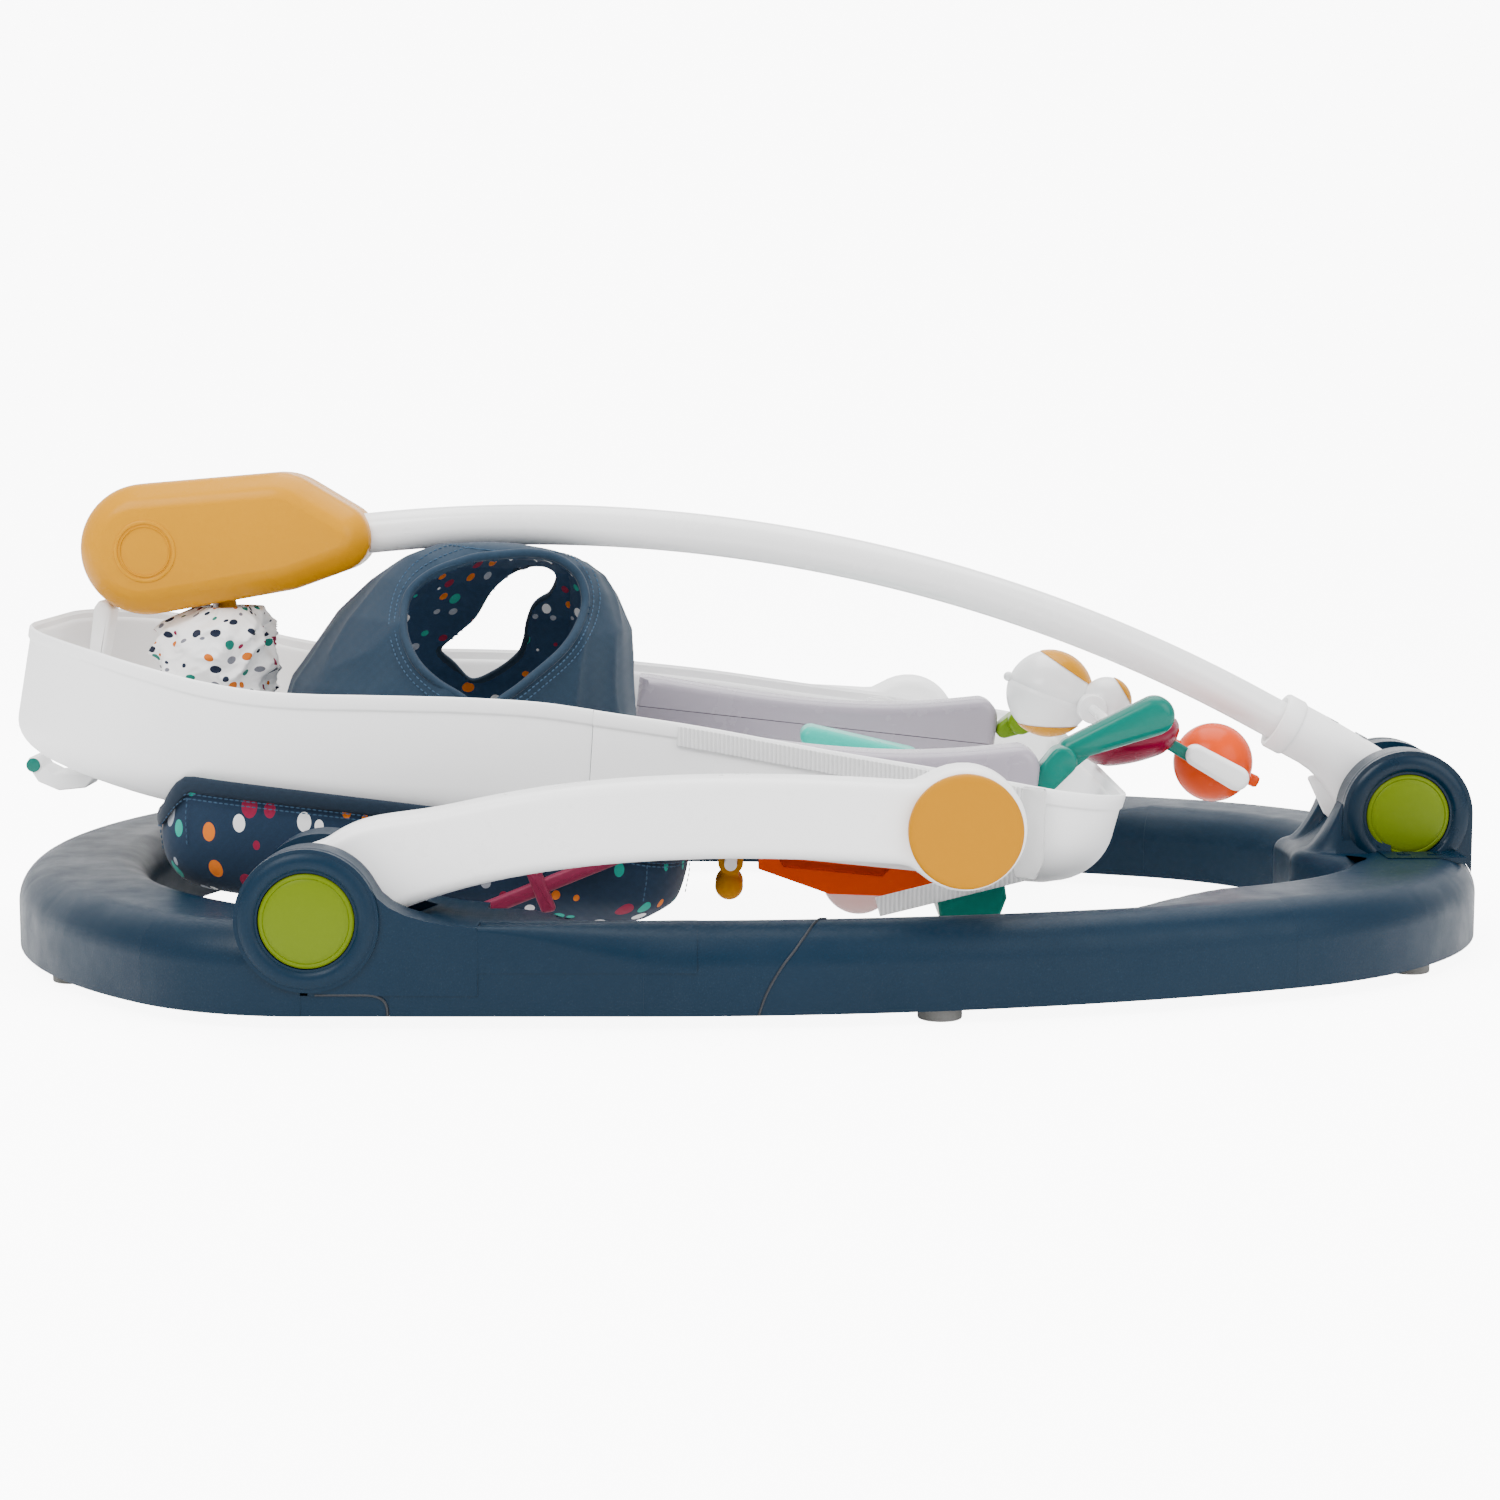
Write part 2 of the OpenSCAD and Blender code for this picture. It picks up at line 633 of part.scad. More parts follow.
// Yellow cap over the tray pivot
module pivot_cap_far()
    color([0.87, 0.66, 0.05]) in_leg() translate([leg_length, leg_out, 0]) rotate([-90, 0, 0])
        rotate_extrude($fn = 96) {
            square([cap_r, cap_t - 4]);
            square([cap_r - 4, cap_t]);
            translate([cap_r - 4, cap_t - 4]) circle(4);
            translate([cap_r - 7, -3.5]) square([1.7, 4]);
        }

module pivot_cap_near() far_side() pivot_cap_far();

// Tray pivot pins: pressed into the tray's bosses, turning in the legs
module tray_pins()
    color([0.7, 0.7, 0.72]) in_tray() for (s = [0, 1]) mirror([0, s, 0])
        rod_y([0, 0], pin_r, boss_in, leg_out - 4.5);

// Arm socket: sleeve round the tube with an eye on the rear hinge
module arm_socket()
    color([0.92, 0.92, 0.92]) in_arm() difference() {
        union() {
            translate([46, 0, tube_lift]) rotate([0, 90, 0]) cylinder(r = socket_r - 1.5, h = socket_mouth - 46);
            translate([socket_mouth - 13, 0, tube_lift]) rotate([0, 90, 0]) cylinder(r = socket_r, h = 13);
            rod_y([0, 0], socket_eye_r, -bracket_slot + move_gap, bracket_slot - move_gap);
            along_y(-bracket_slot + move_gap, bracket_slot - move_gap) polygon([
                [-4, socket_eye_r - 0.5], [30, tube_lift + socket_r - 3], [72, tube_lift + socket_r - 5],
                [72, tube_lift - socket_r + 6], [38, -22], [22, -21]]);
        }
        translate([28, 0, tube_lift]) rotate([0, 90, 0]) cylinder(r = tube_d / 2, h = 200);
        rod_y([0, 0], pin_r + run_gap, -bracket_slot, bracket_slot);
        for (x = [44, 66]) translate([x, 0, tube_lift]) cylinder(r = 2, h = 40);
    }

// Arm tube: straight end in the socket, then one long bow into the housing
module arm_tube()
    color([0.92, 0.92, 0.92]) difference() {
        tube_form();
        anchor_bore();
    }

module tube_form()
    in_arm() difference() {
        translate([0, 0, tube_lift]) {
            difference() {
                translate([30, 0, 0]) rotate([0, 90, 0])
                    cylinder(r = tube_d / 2 - tube_step, h = tube_straight - 27);
                translate([29, 0, 0]) rotate([0, 90, 0])
                    cylinder(r = tube_d / 2 - tube_wall, h = tube_straight);
            }
            bow() difference() {
                circle(tube_d / 2);
                circle(tube_d / 2 - tube_wall + tube_step);
            }
        }
        for (x = [44, 66]) translate([x, 0, tube_lift]) cylinder(r = 2, h = 40);
    }

module anchor_bore() rod_y(spring_root, 2.5, -tube_d, tube_d);

// Sweep a section along the tube's bow
module bow()
    translate([tube_straight, 0, -tube_bow_r]) rotate([90, 0, 0]) rotate([0, 0, 90 - tube_bow])
        rotate_extrude(angle = tube_bow, $fn = 200) translate([tube_bow_r, 0]) children();

module socket_screws()
    color([0.7, 0.7, 0.72]) in_arm() for (x = [44, 66])
        translate([x, 0, tube_lift + tube_d / 2 - 3]) {
            cylinder(r = 2, h = socket_r - tube_d / 2 + 2.5);
            translate([0, 0, socket_r - tube_d / 2 + 1.5]) cylinder(r = 3.5, h = 2);
        }

// Outline of the housing's side view round its three circles, drawn in by an inset
function housing_outline(inset) = [
    for (j = [0 : 47])
        let (a = -7.5 * j - 2, d = [cos(a), sin(a)],
            c = [[housing_end, housing_end_r], [housing_mid, housing_mid_r], [housing_nose, housing_nose_r]],
            r = [for (k = c) max(k[1] - inset, 4)],
            reach = [for (k = [0 : 2]) c[k][0] * d + r[k]],
            k = reach[0] >= max(reach[1], reach[2]) ? 0 : reach[1] >= reach[2] ? 1 : 2)
        c[k][0] + r[k] * d
];

// Solid form of the housing, shrunk by a wall, from a share of its half width
module housing_form(shrink, from)
    skin([for (lv = [[from, 0], [0.55, 0], [0.85, 5], [1, 15]])
        [for (p = housing_outline(lv[1] + shrink)) [p[0], (housing_half_w - shrink) * lv[0], p[1]]]]);

module housing_far()
    color([0.93, 0.72, 0.16]) difference() {
        union() {
            difference() {
                housing_form(0, 0);
                housing_form(housing_wall, -0.1);
            }
            for (p = housing_bosses()) rod_y(p, 5, move_gap, housing_half_w - 1.5);
        }
        translate([housing_nose[0], 0, housing_nose[1]]) rotate([0, 90 - tube_end_rise, 0])
            cylinder(r = tube_d / 2 + 2 * move_gap, h = 60, center = true);
        translate([strap_exit_x - strap_t / 2 - move_gap, -1, housing_end[1] - 60])
            cube([strap_t + 2 * move_gap, strap_w / 2 + move_gap + 1, 60]);
        for (p = housing_bosses()) rod_y(p, 3.1, -1, 16.5);
    }

module housing_near() far_side() housing_far();

function housing_bosses() = [
    housing_end + [-12, 9], housing_end + [10, -13], housing_mid + [-4, 12]
];

module housing_screws()
    color([0.7, 0.7, 0.72]) for (p = housing_bosses()) rod_y(p, 3, -16, 16);

// Cross pin in the tube that holds the spring's inner end
module spring_anchor()
    color([0.7, 0.7, 0.72]) rod_y(spring_root, 2.5, -tube_d / 2 + eps, tube_d / 2 - eps);

module jump_spring()
    color([0.6, 0.62, 0.64]) translate([tube_end[0], 0, tube_end[1]]) rotate([0, 90 - spring_rise, 0])
        coil(spring_r, spring_wire, spring_turns, spring_length, 14, 6);

module strap_roller()
    color([0.9, 0.9, 0.9]) difference() {
        rod_y(roller_at, roller_r, -strap_w / 2 - 1, strap_w / 2 + 1);
        rod_y(roller_at, 4 + run_gap, -strap_w, strap_w);
    }

module roller_axle()
    color([0.7, 0.7, 0.72])
        rod_y(roller_at, 4, -housing_half_w + housing_wall + 1, housing_half_w - housing_wall - 1);

// Strap: from the spring's end, over the roller and down out of the housing
module suspension_strap() {
    r = roller_r + move_gap;
    color([0.9, 0.9, 0.9]) along_y(-strap_w / 2, strap_w / 2) {
        translate([roller_at[0], roller_at[1] + r]) square([tube_end[0] - roller_at[0], strap_t]);
        translate(roller_at) intersection() {
            difference() {
                circle(r + strap_t);
                circle(r);
            }
            translate([-3 * r, 0]) square(3 * r);
        }
        translate([roller_at[0] - r - strap_t, sleeve_top - sleeve_h + 12])
            square([strap_t, roller_at[1] - sleeve_top + sleeve_h - 12]);
    }
}

// Crumpled fabric sleeve hanging under the housing, with its main folds
module spring_sleeve()
    color([0.93, 0.93, 0.95]) difference() {
        translate([strap_exit_x, 0, sleeve_top - sleeve_h]) skin([for (i = [0 : 20])
            let (t = i / 20, z = sleeve_h * t, body = 0.45 + 0.55 * pow(sin(180 * min(1, 0.12 + 0.86 * t)), 0.7))
            [for (j = [0 : 39])
                let (a = 360 * j / 40,
                    r = sleeve_r * body * (1 + 0.08 * sin(3 * a + 500 * t) + 0.06 * sin(5 * a - 700 * t + 40)
                        + 0.06 * sin(1080 * t)))
                [r * cos(a) * 1.12, r * sin(a), z]]]);
        translate([strap_exit_x - strap_t / 2 - move_gap, -strap_w / 2 - move_gap, 0])
            cube([strap_t + 2 * move_gap, strap_w + 2 * move_gap, 400]);
    }

// Plans of the two tray shells as round corners: centre and radius, in the tray's frame
function rear_corners() = [
    for (s = [-1, 1]) each [
        [-tray_rear + 130, s * (tray_seat_w - 130), 130],
        [-tray_rear + 185, s * (tray_seat_w - 100), 100],
        [-150, s * (tray_seam_w - 60), 60]
    ]
];
function front_corners() = [
    for (s = [-1, 1], c = [front_root, front_corner]) [c[0], s * c[1], 45]
];

module tray_form(corners, shrink)
    on_deck() hull() for (c = corners, lv = concat(wall_levels, [[4, 0]]))
        translate([c[0], c[1], shrink + tray_round * lv[0]])
            cylinder(r = c[2] - tray_round * lv[1] - shrink, h = eps, $fn = 40);

module under_rim()
    along_y(-300, 300) polygon(concat([[-640, -120]], spline(rim_line, 4), [[130, -120]]));

module tray_skin(corners)
    difference() {
        intersection() {
            tray_form(corners, 0);
            under_rim();
        }
        tray_form(corners, tray_wall);
        on_deck() translate([seat_u, 0, -1]) cylinder(r = seat_hole_r, h = tray_wall + 3);
    }

module tray_rear_shell()
    color([0.92, 0.92, 0.92]) in_tray() {
        difference() {
            tray_skin(rear_corners());
            translate([tray_seam, -300, -150]) cube([800, 600, 300]);
        }
        along_y(-11, 11) translate([-tray_rear, 0]) polygon([[30, -64], [47, -63], [41, 49], [33, 49]]);
    }

module tray_front_shell()
    color([0.92, 0.92, 0.92]) in_tray() difference() {
        union() {
            intersection() {
                tray_skin(front_corners());
                translate([tray_seam, -300, -150]) cube([800, 600, 300]);
            }
            for (s = [0, 1]) mirror([0, s, 0])
                rod_y([0, 0], boss_r, boss_in, leg_in - move_gap);
        }
        for (s = [0, 1]) mirror([0, s, 0]) rod_y([0, 0], pin_r, boss_in - 10, leg_in);
        on_deck() for (s = [-1, 1], u = rail_posts()) translate([u, s * rail_y, -1])
            cylinder(r = 2.2, h = tray_wall + 2);
    }

// Place on the seat's own axis, deck level at zero
module on_seat() in_tray() on_deck() translate([seat_u, 0, 0]) children();

module seat_ring()
    color([0.3, 0.36, 0.42]) on_seat() rotate_extrude($fn = 120) {
        translate([seat_ring_r, 0]) square([seat_hole_r - seat_ring_r - move_gap, 14]);
        translate([seat_ring_r, tray_wall]) square([seat_hole_r - seat_ring_r + 2, 4]);
    }

// Fabric seat: a leaning pouch with two leg openings, crown pushed up through the tray
function sling_r(a) = (seat_ring_r - 0.5) * lookup(a, sling_form);
function sling_ring(a, shrink, n) = [
    for (j = [0 : n - 1])
        let (q = 360 * j / n, r = max(sling_r(a) - shrink, 6) * (1 + 0.012 * sin(6 * q) * a))
        [sling_lean * lookup(a, sling_shift) + r * cos(q), r * sin(q), tray_wall + (sling_h - tray_wall - shrink) * a]
];

module seat_sling()
    color([0.2, 0.31, 0.42]) on_seat() difference() {
        skin([for (i = [0 : 14]) sling_ring(pow(i / 14, 0.75), 0, 40)]);
        translate([0, 0, -1]) skin([for (i = [0 : 14]) sling_ring(pow(i / 14, 0.75), sling_t, 40)]);
        rod_y([sling_lean - 2, sling_h - sling_t - leg_hole_r - 2], leg_hole_r, -200, 200);
    }

// Padded collar round the seat opening: boxy outside, its lip standing up the tray's walls
function collar_r(q) =
    1 / pow(pow(abs(cos(q)) / collar_half_l, 6) + pow(abs(sin(q)) / collar_half_w, 6), 1 / 6);
function lip_at(x, y) =
    abs(y) < collar_half_w - 3 ? 0 : collar_lip * max(0, min(1, (x + 140) / 15)) * max(0, min(1, (55 - x) / 120));

module seat_collar()
    color([0.2, 0.31, 0.42]) on_seat() loop_skin([for (i = [0 : 71])
        let (q = 360 * i / 72, ro = collar_r(q), ri = seat_ring_r, x = ro * cos(q),
            lip = lip_at(x, ro * sin(q)), low = collar_h - 5 + 5 * x / collar_half_l,
            puff = 2 * abs(sin(4 * q)))
        [for (p = [[ri, -low * 0.5], [ri, -4], [ri + 6, 0], [ri + 20, 0], [ro - 13, -1],
            [ro - 6, lip - 2], [ro - 3, lip - 1], [ro, lip * 0.75 - 8], [ro + puff, -low * 0.4],
            [ro + puff * 0.5, -low * 0.7], [ro - 8, -low * 0.93], [ro - 20, -low],
            [ri + 14, -low], [ri + 3, -low * 0.86]]) [p[0] * cos(q), p[0] * sin(q), p[1]]]]);

// Magenta bar sewn along the collar's near side
module collar_bar()
    color([0.65, 0.23, 0.38]) on_seat() translate([70, -collar_half_w - 9, -collar_h * 0.55])
        rotate([0, -12, 0]) {
            translate([-60, 0, -4]) cube([120, 7, 8]);
            translate([6, 0, -14]) cube([9, 7, 28]);
        }

function rail_posts() = [-150, -40];

module rail_profile(z0, z1)
    intersection() {
        polygon(concat([[rail_top[0][0], -12]], spline(rail_top, 5),
            [for (a = [80 : -10 : 0]) [40 + 14 * cos(a), 23 + 14 * sin(a)]], [[54, -2], [44, -12]]));
        translate([-300, z0]) square([500, z1 - z0]);
    }

module rail_far_lower()
    color([0.72, 0.71, 0.74]) in_tray() difference() {
        union() {
            along_y(rail_y - rail_w / 2, rail_y + rail_w / 2) rail_profile(-60, rail_part);
            on_deck() for (u = rail_posts()) translate([u, rail_y, tray_wall])
                cylinder(r = 8, h = -deck_w(u) - tray_wall - 10);
        }
        along_y(rail_y - rail_w / 2 + 3, rail_y + rail_w / 2 - 3) translate([-200, -8]) square([235, 40]);
        on_deck() for (u = rail_posts()) translate([u, rail_y, 0]) cylinder(r = 2.2, h = 24);
    }

module rail_near_lower() far_side() rail_far_lower();

module rail_far_upper()
    color([0.72, 0.71, 0.74]) in_tray() difference() {
        along_y(rail_y - rail_w / 2, rail_y + rail_w / 2) rail_profile(rail_part, 80);
        along_y(rail_y - rail_w / 2 + 3, rail_y + rail_w / 2 - 3) intersection() {
            translate([0, -3]) rail_profile(-20, 80);
            translate([-202, -20]) square([236, 80]);
        }
    }

module rail_near_upper() far_side() rail_far_upper();

module rail_screws()
    color([0.7, 0.7, 0.72]) in_tray() on_deck() for (s = [-1, 1], u = rail_posts())
        translate([u, s * rail_y, 0]) {
            cylinder(r = 2.2, h = 22);
            translate([0, 0, -2.5]) cylinder(r = 4.5, h = 2.5);
        }

// Flat leaf between two points of the side view, at a given Y span
module leaf(p, q, r0, r1, y0, y1)
    along_y(y0, y1) hull() {
        translate(p) circle(r0, $fn = 32);
        translate(q) circle(r1, $fn = 32);
    }

module holder_teal()
    color([0.06, 0.6, 0.55]) in_tray() difference() {
        union() {
            leaf([60, 12], [70, 32], 6, 12, -rail_y - 8, -rail_y + 14);
            leaf([76, 38], [120, 62], 9, 11, -rail_y + 8, -rail_y + 26);
            leaf([70, 32], [100, 52], 10, 10, -rail_y + 8, -rail_y + 20);
        }
        rod_y(rod_at, rod_r, -rail_y - 20, -rail_y + 30);
    }

module holder_lime()
    color([0.6, 0.72, 0.14]) in_tray() difference() {
        union() {
            leaf([60, 16], [72, 24], 6, 9, rail_y - 14, rail_y + 8);
            leaf([70, 24], rod_at, 9, 10, rail_y - 26, rail_y - 10);
            leaf([76, 30], [70, 52], 9, 5, rail_y - 24, rail_y - 14);
        }
        rod_y(rod_at, rod_r, rail_y - 40, rail_y);
    }

module toy_rod()
    color([0.9, 0.9, 0.9]) in_tray() rod_y(rod_at, rod_r, -rail_y + 9, rail_y - 11);

// White two-part figure that flips over on the rod
module toy_figure()
    color([0.94, 0.94, 0.94]) in_tray() difference() {
        union() {
            in_figure() sphere(r = figure_r, $fn = 72);
            translate([rod_at[0] + 11, 44, rod_at[1] + 5]) sphere(r = 17, $fn = 48);
            rod_y(rod_at, 10, 24, 96);
        }
        rod_y(rod_at, rod_r + run_gap, 0, 120);
        in_figure() translate([-40, -40, figure_r - 9]) cube([80, 80, 30]);
    }

module in_figure() translate([rod_at[0] - 27, 60, rod_at[1] + 5]) rotate([0, 28, 0]) children();

module figure_cap()
    color([0.93, 0.72, 0.16]) in_tray() in_figure() intersection() {
        sphere(r = figure_r, $fn = 72);
        translate([-40, -40, figure_r - 9]) cube([80, 80, 30]);
    }

module magenta_disc()
    color([0.65, 0.23, 0.38]) in_tray() difference() {
        translate([rod_at[0] + 3, -76, rod_at[1]]) rotate([0, -20, 0]) translate([0, 0, -disc_t / 2])
            rotate_extrude($fn = 96) {
                translate([0, 0]) square([disc_r - disc_t / 2, disc_t]);
                translate([disc_r - disc_t / 2, disc_t / 2]) circle(disc_t / 2);
            }
        rod_y(rod_at, rod_r + run_gap, -130, -20);
        translate(link_root()) rotate([0, 24, 0]) translate([-40, -4, -4]) cube([41, 8, 8]);
    }

function link_root() = [rod_at[0] + 30, -76, rod_at[1] - 4];

// Flat link from the disc out to the spinner ball
module disc_link()
    color([0.06, 0.55, 0.5]) in_tray() translate(link_root()) rotate([0, 24, 0])
        translate([-12, -4, -4]) cube([40, 8, 8]);

module link_clip()
    color([0.93, 0.93, 0.93]) in_tray() difference() {
        union() {
            leaf([rod_at[0] + 56, rod_at[1] - 13], ball_at + [10, -5], 7, 8, -80, -71.5);
            rod_y(ball_at, 4, -76, ball_y);
        }
        translate(link_root()) rotate([0, 24, 0]) translate([-12, -4, -4]) cube([40, 8, 8]);
    }

module spinner_ball()
    color([0.95, 0.42, 0.1]) in_tray() difference() {
        translate([ball_at[0], ball_y, ball_at[1]]) {
            sphere(r = ball_r, $fn = 80);
            rotate([0, 18, 0]) {
                translate([0, 0, -2]) cylinder(r = ball_r + 1.5, h = 4);
                for (s = [-1, 1]) translate([s * (ball_r + 2), 0, -3]) cylinder(r = 6, h = 6);
            }
        }
        rod_y(ball_at, 4 + run_gap, -90, ball_y + move_gap);
    }

// Light bar lying between the rails on its own post
module crank_bar()
    color([0.4, 0.85, 0.78]) in_tray() {
        leaf([-84, 12], [-16, 4], 7, 7, -16, 16);
        on_deck() translate([-50, 0, tray_wall]) cylinder(r = 8, h = -deck_w(-50) - tray_wall + 4);
    }

// Console under the deck: wedge with a dark slot, its bracket and a clear bead dome
module console()
    color([0.95, 0.42, 0.1]) in_tray() difference() {
        along_y(-143, -40) polygon([[-112, deck_w(-112)], [2, deck_w(2)], [2, -66], [-66, -71], [-112, -60]]);
        along_y(-160, -139) polygon([[-100, -52], [-30, -51], [-34, -56], [-96, -57]]);
        translate([-46, -95, -tray_deck - 60]) cylinder(r = dome_r, h = 54);
    }

// Clear dome let into the console, and a second one standing on the deck by the far rail
module rattle_dome()
    color([0.85, 0.88, 0.9]) in_tray() {
        translate([-46, -95, -tray_deck - 24]) {
            cylinder(r = dome_r, h = 18);
            intersection() {
                sphere(r = dome_r, $fn = 64);
                translate([0, 0, -dome_r]) cylinder(r = dome_r, h = dome_r + 1);
            }
        }
        on_deck() translate([-28, 182, tray_wall]) cylinder(r = 5, h = -deck_w(-28) - tray_wall);
        translate([-28, 190, 6]) sphere(r = dome_r - 4, $fn = 64);
    }

module console_bracket()
    color([0.05, 0.45, 0.43]) in_tray()
        along_y(-140, -60) polygon([[2, deck_w(2)], [40, deck_w(40)], [46, -62], [40, -86], [6, -82], [2, -66]]);

module bead_rod()
    color([0.92, 0.92, 0.92]) in_tray() on_deck() {
        for (y = [-128, -72]) translate([-130, y, -14]) cylinder(r = 4, h = 14);
        rod_y([-130, -14], 4, -132, -68);
    }

module drop_beads()
    color([0.93, 0.72, 0.16]) in_tray() on_deck() for (y = [-116, -96]) difference() {
        translate([-130, y, -14]) {
            rotate([90, 0, 0]) cylinder(r = 8, h = 14, center = true);
            translate([0, 0, -16]) sphere(r = 9, $fn = 48);
            translate([0, 0, -16]) cylinder(r = 6, h = 14);
        }
        rod_y([-130, -14], 4 + run_gap, -200, 0);
    }

// Storage strap along the front shell's near rim, and its lower run from the buckle into the ring
module storage_strap()
    color([0.9, 0.9, 0.9]) {
        in_tray() difference() {
            on_wall() along_y(-storage_t - wall_lean, -wall_lean) polygon(concat(strap_line(),
                [for (i = [len(strap_line()) - 1 : -1 : 0]) strap_line()[i] - [0, storage_w]]));
            rod_y([0, 0], boss_r + move_gap, -leg_in, -150);
        }
        translate([pivot_x + 38, -wall_y(38) - 6, pivot_z - 33]) rotate([0, 17.3, 148])
            translate([0, -storage_t / 2, -storage_w / 2]) cube([102, storage_t, storage_w]);
    }

function strap_line() = [for (p = spline(rim_line, 4)) if (p[0] > -180 && p[0] < 50) p - [0, 2]];

// Side-release buckle that joins the two runs of the storage strap
module strap_buckle()
    color([0.9, 0.92, 0.93]) in_tray() on_wall() along_y(-storage_t - wall_lean - 9, -storage_t - wall_lean)
        polygon([[38, 22], [52, 22], [56, -20], [52, -32], [40, -32], [36, -20]]);

// Rear latch hook under the deck's end
module rear_latch()
    color([0.92, 0.92, 0.92]) in_tray() on_deck() translate([-tray_rear, 0, 0]) along_y(-16, 16)
        polygon([[46, 0], [30, 0], [16, -1.5], [8, 2], [3.5, 8], [-1, 8.5], [-2, 3], [6, -8], [20, -13], [38, -10]]);

echo(spring_gap = spring_length / spring_turns - 2 * spring_wire);

base_front();
base_side_near();
base_side_far();
base_rear();
rear_bracket();
rear_pin();
hub_pins();
rubber_feet();
bracket_screws();
button_springs();
front_button_near();
front_button_far();
rear_button_near();
rear_button_far();
leg_near();
leg_far();
pivot_cap_near();
pivot_cap_far();
arm_socket();
arm_tube();
socket_screws();
housing_near();
housing_far();
housing_screws();
jump_spring();
spring_anchor();
strap_roller();
roller_axle();
suspension_strap();
spring_sleeve();
tray_rear_shell();
tray_front_shell();
tray_pins();
seat_ring();
seat_sling();
seat_collar();
collar_bar();
rail_near_lower();
rail_near_upper();
rail_far_lower();
rail_far_upper();
rail_screws();
holder_teal();
holder_lime();
toy_rod();
toy_figure();
figure_cap();
magenta_disc();
disc_link();
link_clip();
spinner_ball();
crank_bar();
console();
console_bracket();
rattle_dome();
bead_rod();
drop_beads();
storage_strap();
strap_buckle();
rear_latch();
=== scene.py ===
"""Looks of a folding baby jumper, lying folded flat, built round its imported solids.

Shapes are worked out in millimetres in the part's own frame and stored in metres.
"""

import json
import math

import bmesh
import bpy
import numpy as np
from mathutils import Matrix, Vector, noise
from mathutils.geometry import tessellate_polygon

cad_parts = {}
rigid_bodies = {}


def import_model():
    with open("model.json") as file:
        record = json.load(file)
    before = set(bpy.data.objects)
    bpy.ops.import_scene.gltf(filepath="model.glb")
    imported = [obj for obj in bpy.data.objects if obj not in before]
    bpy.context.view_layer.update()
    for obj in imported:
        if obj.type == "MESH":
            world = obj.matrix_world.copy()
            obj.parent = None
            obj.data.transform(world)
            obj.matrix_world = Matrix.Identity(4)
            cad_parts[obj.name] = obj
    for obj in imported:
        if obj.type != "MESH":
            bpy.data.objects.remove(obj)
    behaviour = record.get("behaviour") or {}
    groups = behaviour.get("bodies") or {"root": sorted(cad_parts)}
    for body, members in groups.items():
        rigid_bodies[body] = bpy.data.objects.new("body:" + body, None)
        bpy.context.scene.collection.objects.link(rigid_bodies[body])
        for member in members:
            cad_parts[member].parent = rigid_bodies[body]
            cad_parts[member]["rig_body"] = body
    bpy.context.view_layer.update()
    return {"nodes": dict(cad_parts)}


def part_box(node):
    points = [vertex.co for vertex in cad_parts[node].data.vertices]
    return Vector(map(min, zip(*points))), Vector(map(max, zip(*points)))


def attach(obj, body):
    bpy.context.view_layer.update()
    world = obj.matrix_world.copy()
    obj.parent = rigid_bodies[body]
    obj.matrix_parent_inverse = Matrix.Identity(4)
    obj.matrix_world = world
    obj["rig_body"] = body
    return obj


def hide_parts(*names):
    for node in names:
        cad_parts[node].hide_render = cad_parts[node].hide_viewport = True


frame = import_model()
MM = 0.001

# Places of the moving pieces, folded, in millimetres
TRAY_PIVOT, TRAY_TILT = (122.952, 0.0, 110.776), 6.3
DECK_DROP, DECK_FALL = 41.5, 2.4
SEAT_BACK = 323.0
HUB, LEG_LIE, LEG_LENGTH, LEG_BOW = (-250.0, 0.0, 63.0), 7.3, 376.0, 59.0
ARM_HINGE, TUBE_SLOPE, TUBE_LIFT = (436.0, 83.0), 28.3, 14.0
TUBE_STRAIGHT, TUBE_BOW_R, TUBE_BOW, TUBE_R = 118.0, 1025.0, 36.9, 13.5
TOY_ROD = (107.0, 48.0)

# Base ring: its top, its outline from above, its section and the bow at its rear
RING_TOP, RING_HALF_WIDTH, RING_SIDE_R, RING_SIDE_X = 59.0, 324.0, 959.0, -60
RING_WIDE, RING_EDGE, REAR_C, REAR_R = 86.0, 24.0, 218.31, 265.69
SIDES = (("near", -1), ("far", 1))


def set_camera():
    """Camera at the photograph's place: 1.9 m off, a little above, looking slightly down."""
    data = bpy.data.cameras.new("photo_view")
    data.lens, data.sensor_width = 67.2, 36.0
    camera = bpy.data.objects.new("photo_view", data)
    camera.location = (0, -1.8793, 0.3433)
    camera.rotation_euler = (math.pi / 2 - 0.1173, 0, 0)
    bpy.context.scene.collection.objects.link(camera)
    bpy.context.scene.camera = camera


set_camera()


# Frames of the folded pieces

def turned(p, degrees):
    """Points turned about Y."""
    p = np.asarray(p, float)
    c, s = math.cos(math.radians(degrees)), math.sin(math.radians(degrees))
    x, y, z = p[..., 0], p[..., 1], p[..., 2]
    return np.stack([x * c + z * s, y, z * c - x * s], -1)


def in_tray(p):
    """Points from the tray's frame, about its pivot."""
    return turned(p, TRAY_TILT) + TRAY_PIVOT


def on_deck(p):
    """Points from the tray's floor, which falls a little against the rim."""
    return in_tray(turned(p, -DECK_FALL) + (0, 0, -DECK_DROP))


def on_seat(p):
    """Points from the seat's axis where it meets the floor."""
    return on_deck(np.asarray(p, float) - (SEAT_BACK, 0, 0))


def in_leg(p):
    """Points from a leg's frame, about its hub."""
    return turned(p, -LEG_LIE) + HUB


def tube_point(degrees):
    """Side-view point on the arm tube's axis, an angle into its bow."""
    a, k = math.radians(degrees), math.radians(TUBE_SLOPE)
    u = TUBE_STRAIGHT + TUBE_BOW_R * math.sin(a)
    v = TUBE_LIFT - TUBE_BOW_R * (1 - math.cos(a))
    return (ARM_HINGE[0] - u * math.cos(k) + v * math.sin(k),
            ARM_HINGE[1] + u * math.sin(k) + v * math.cos(k))


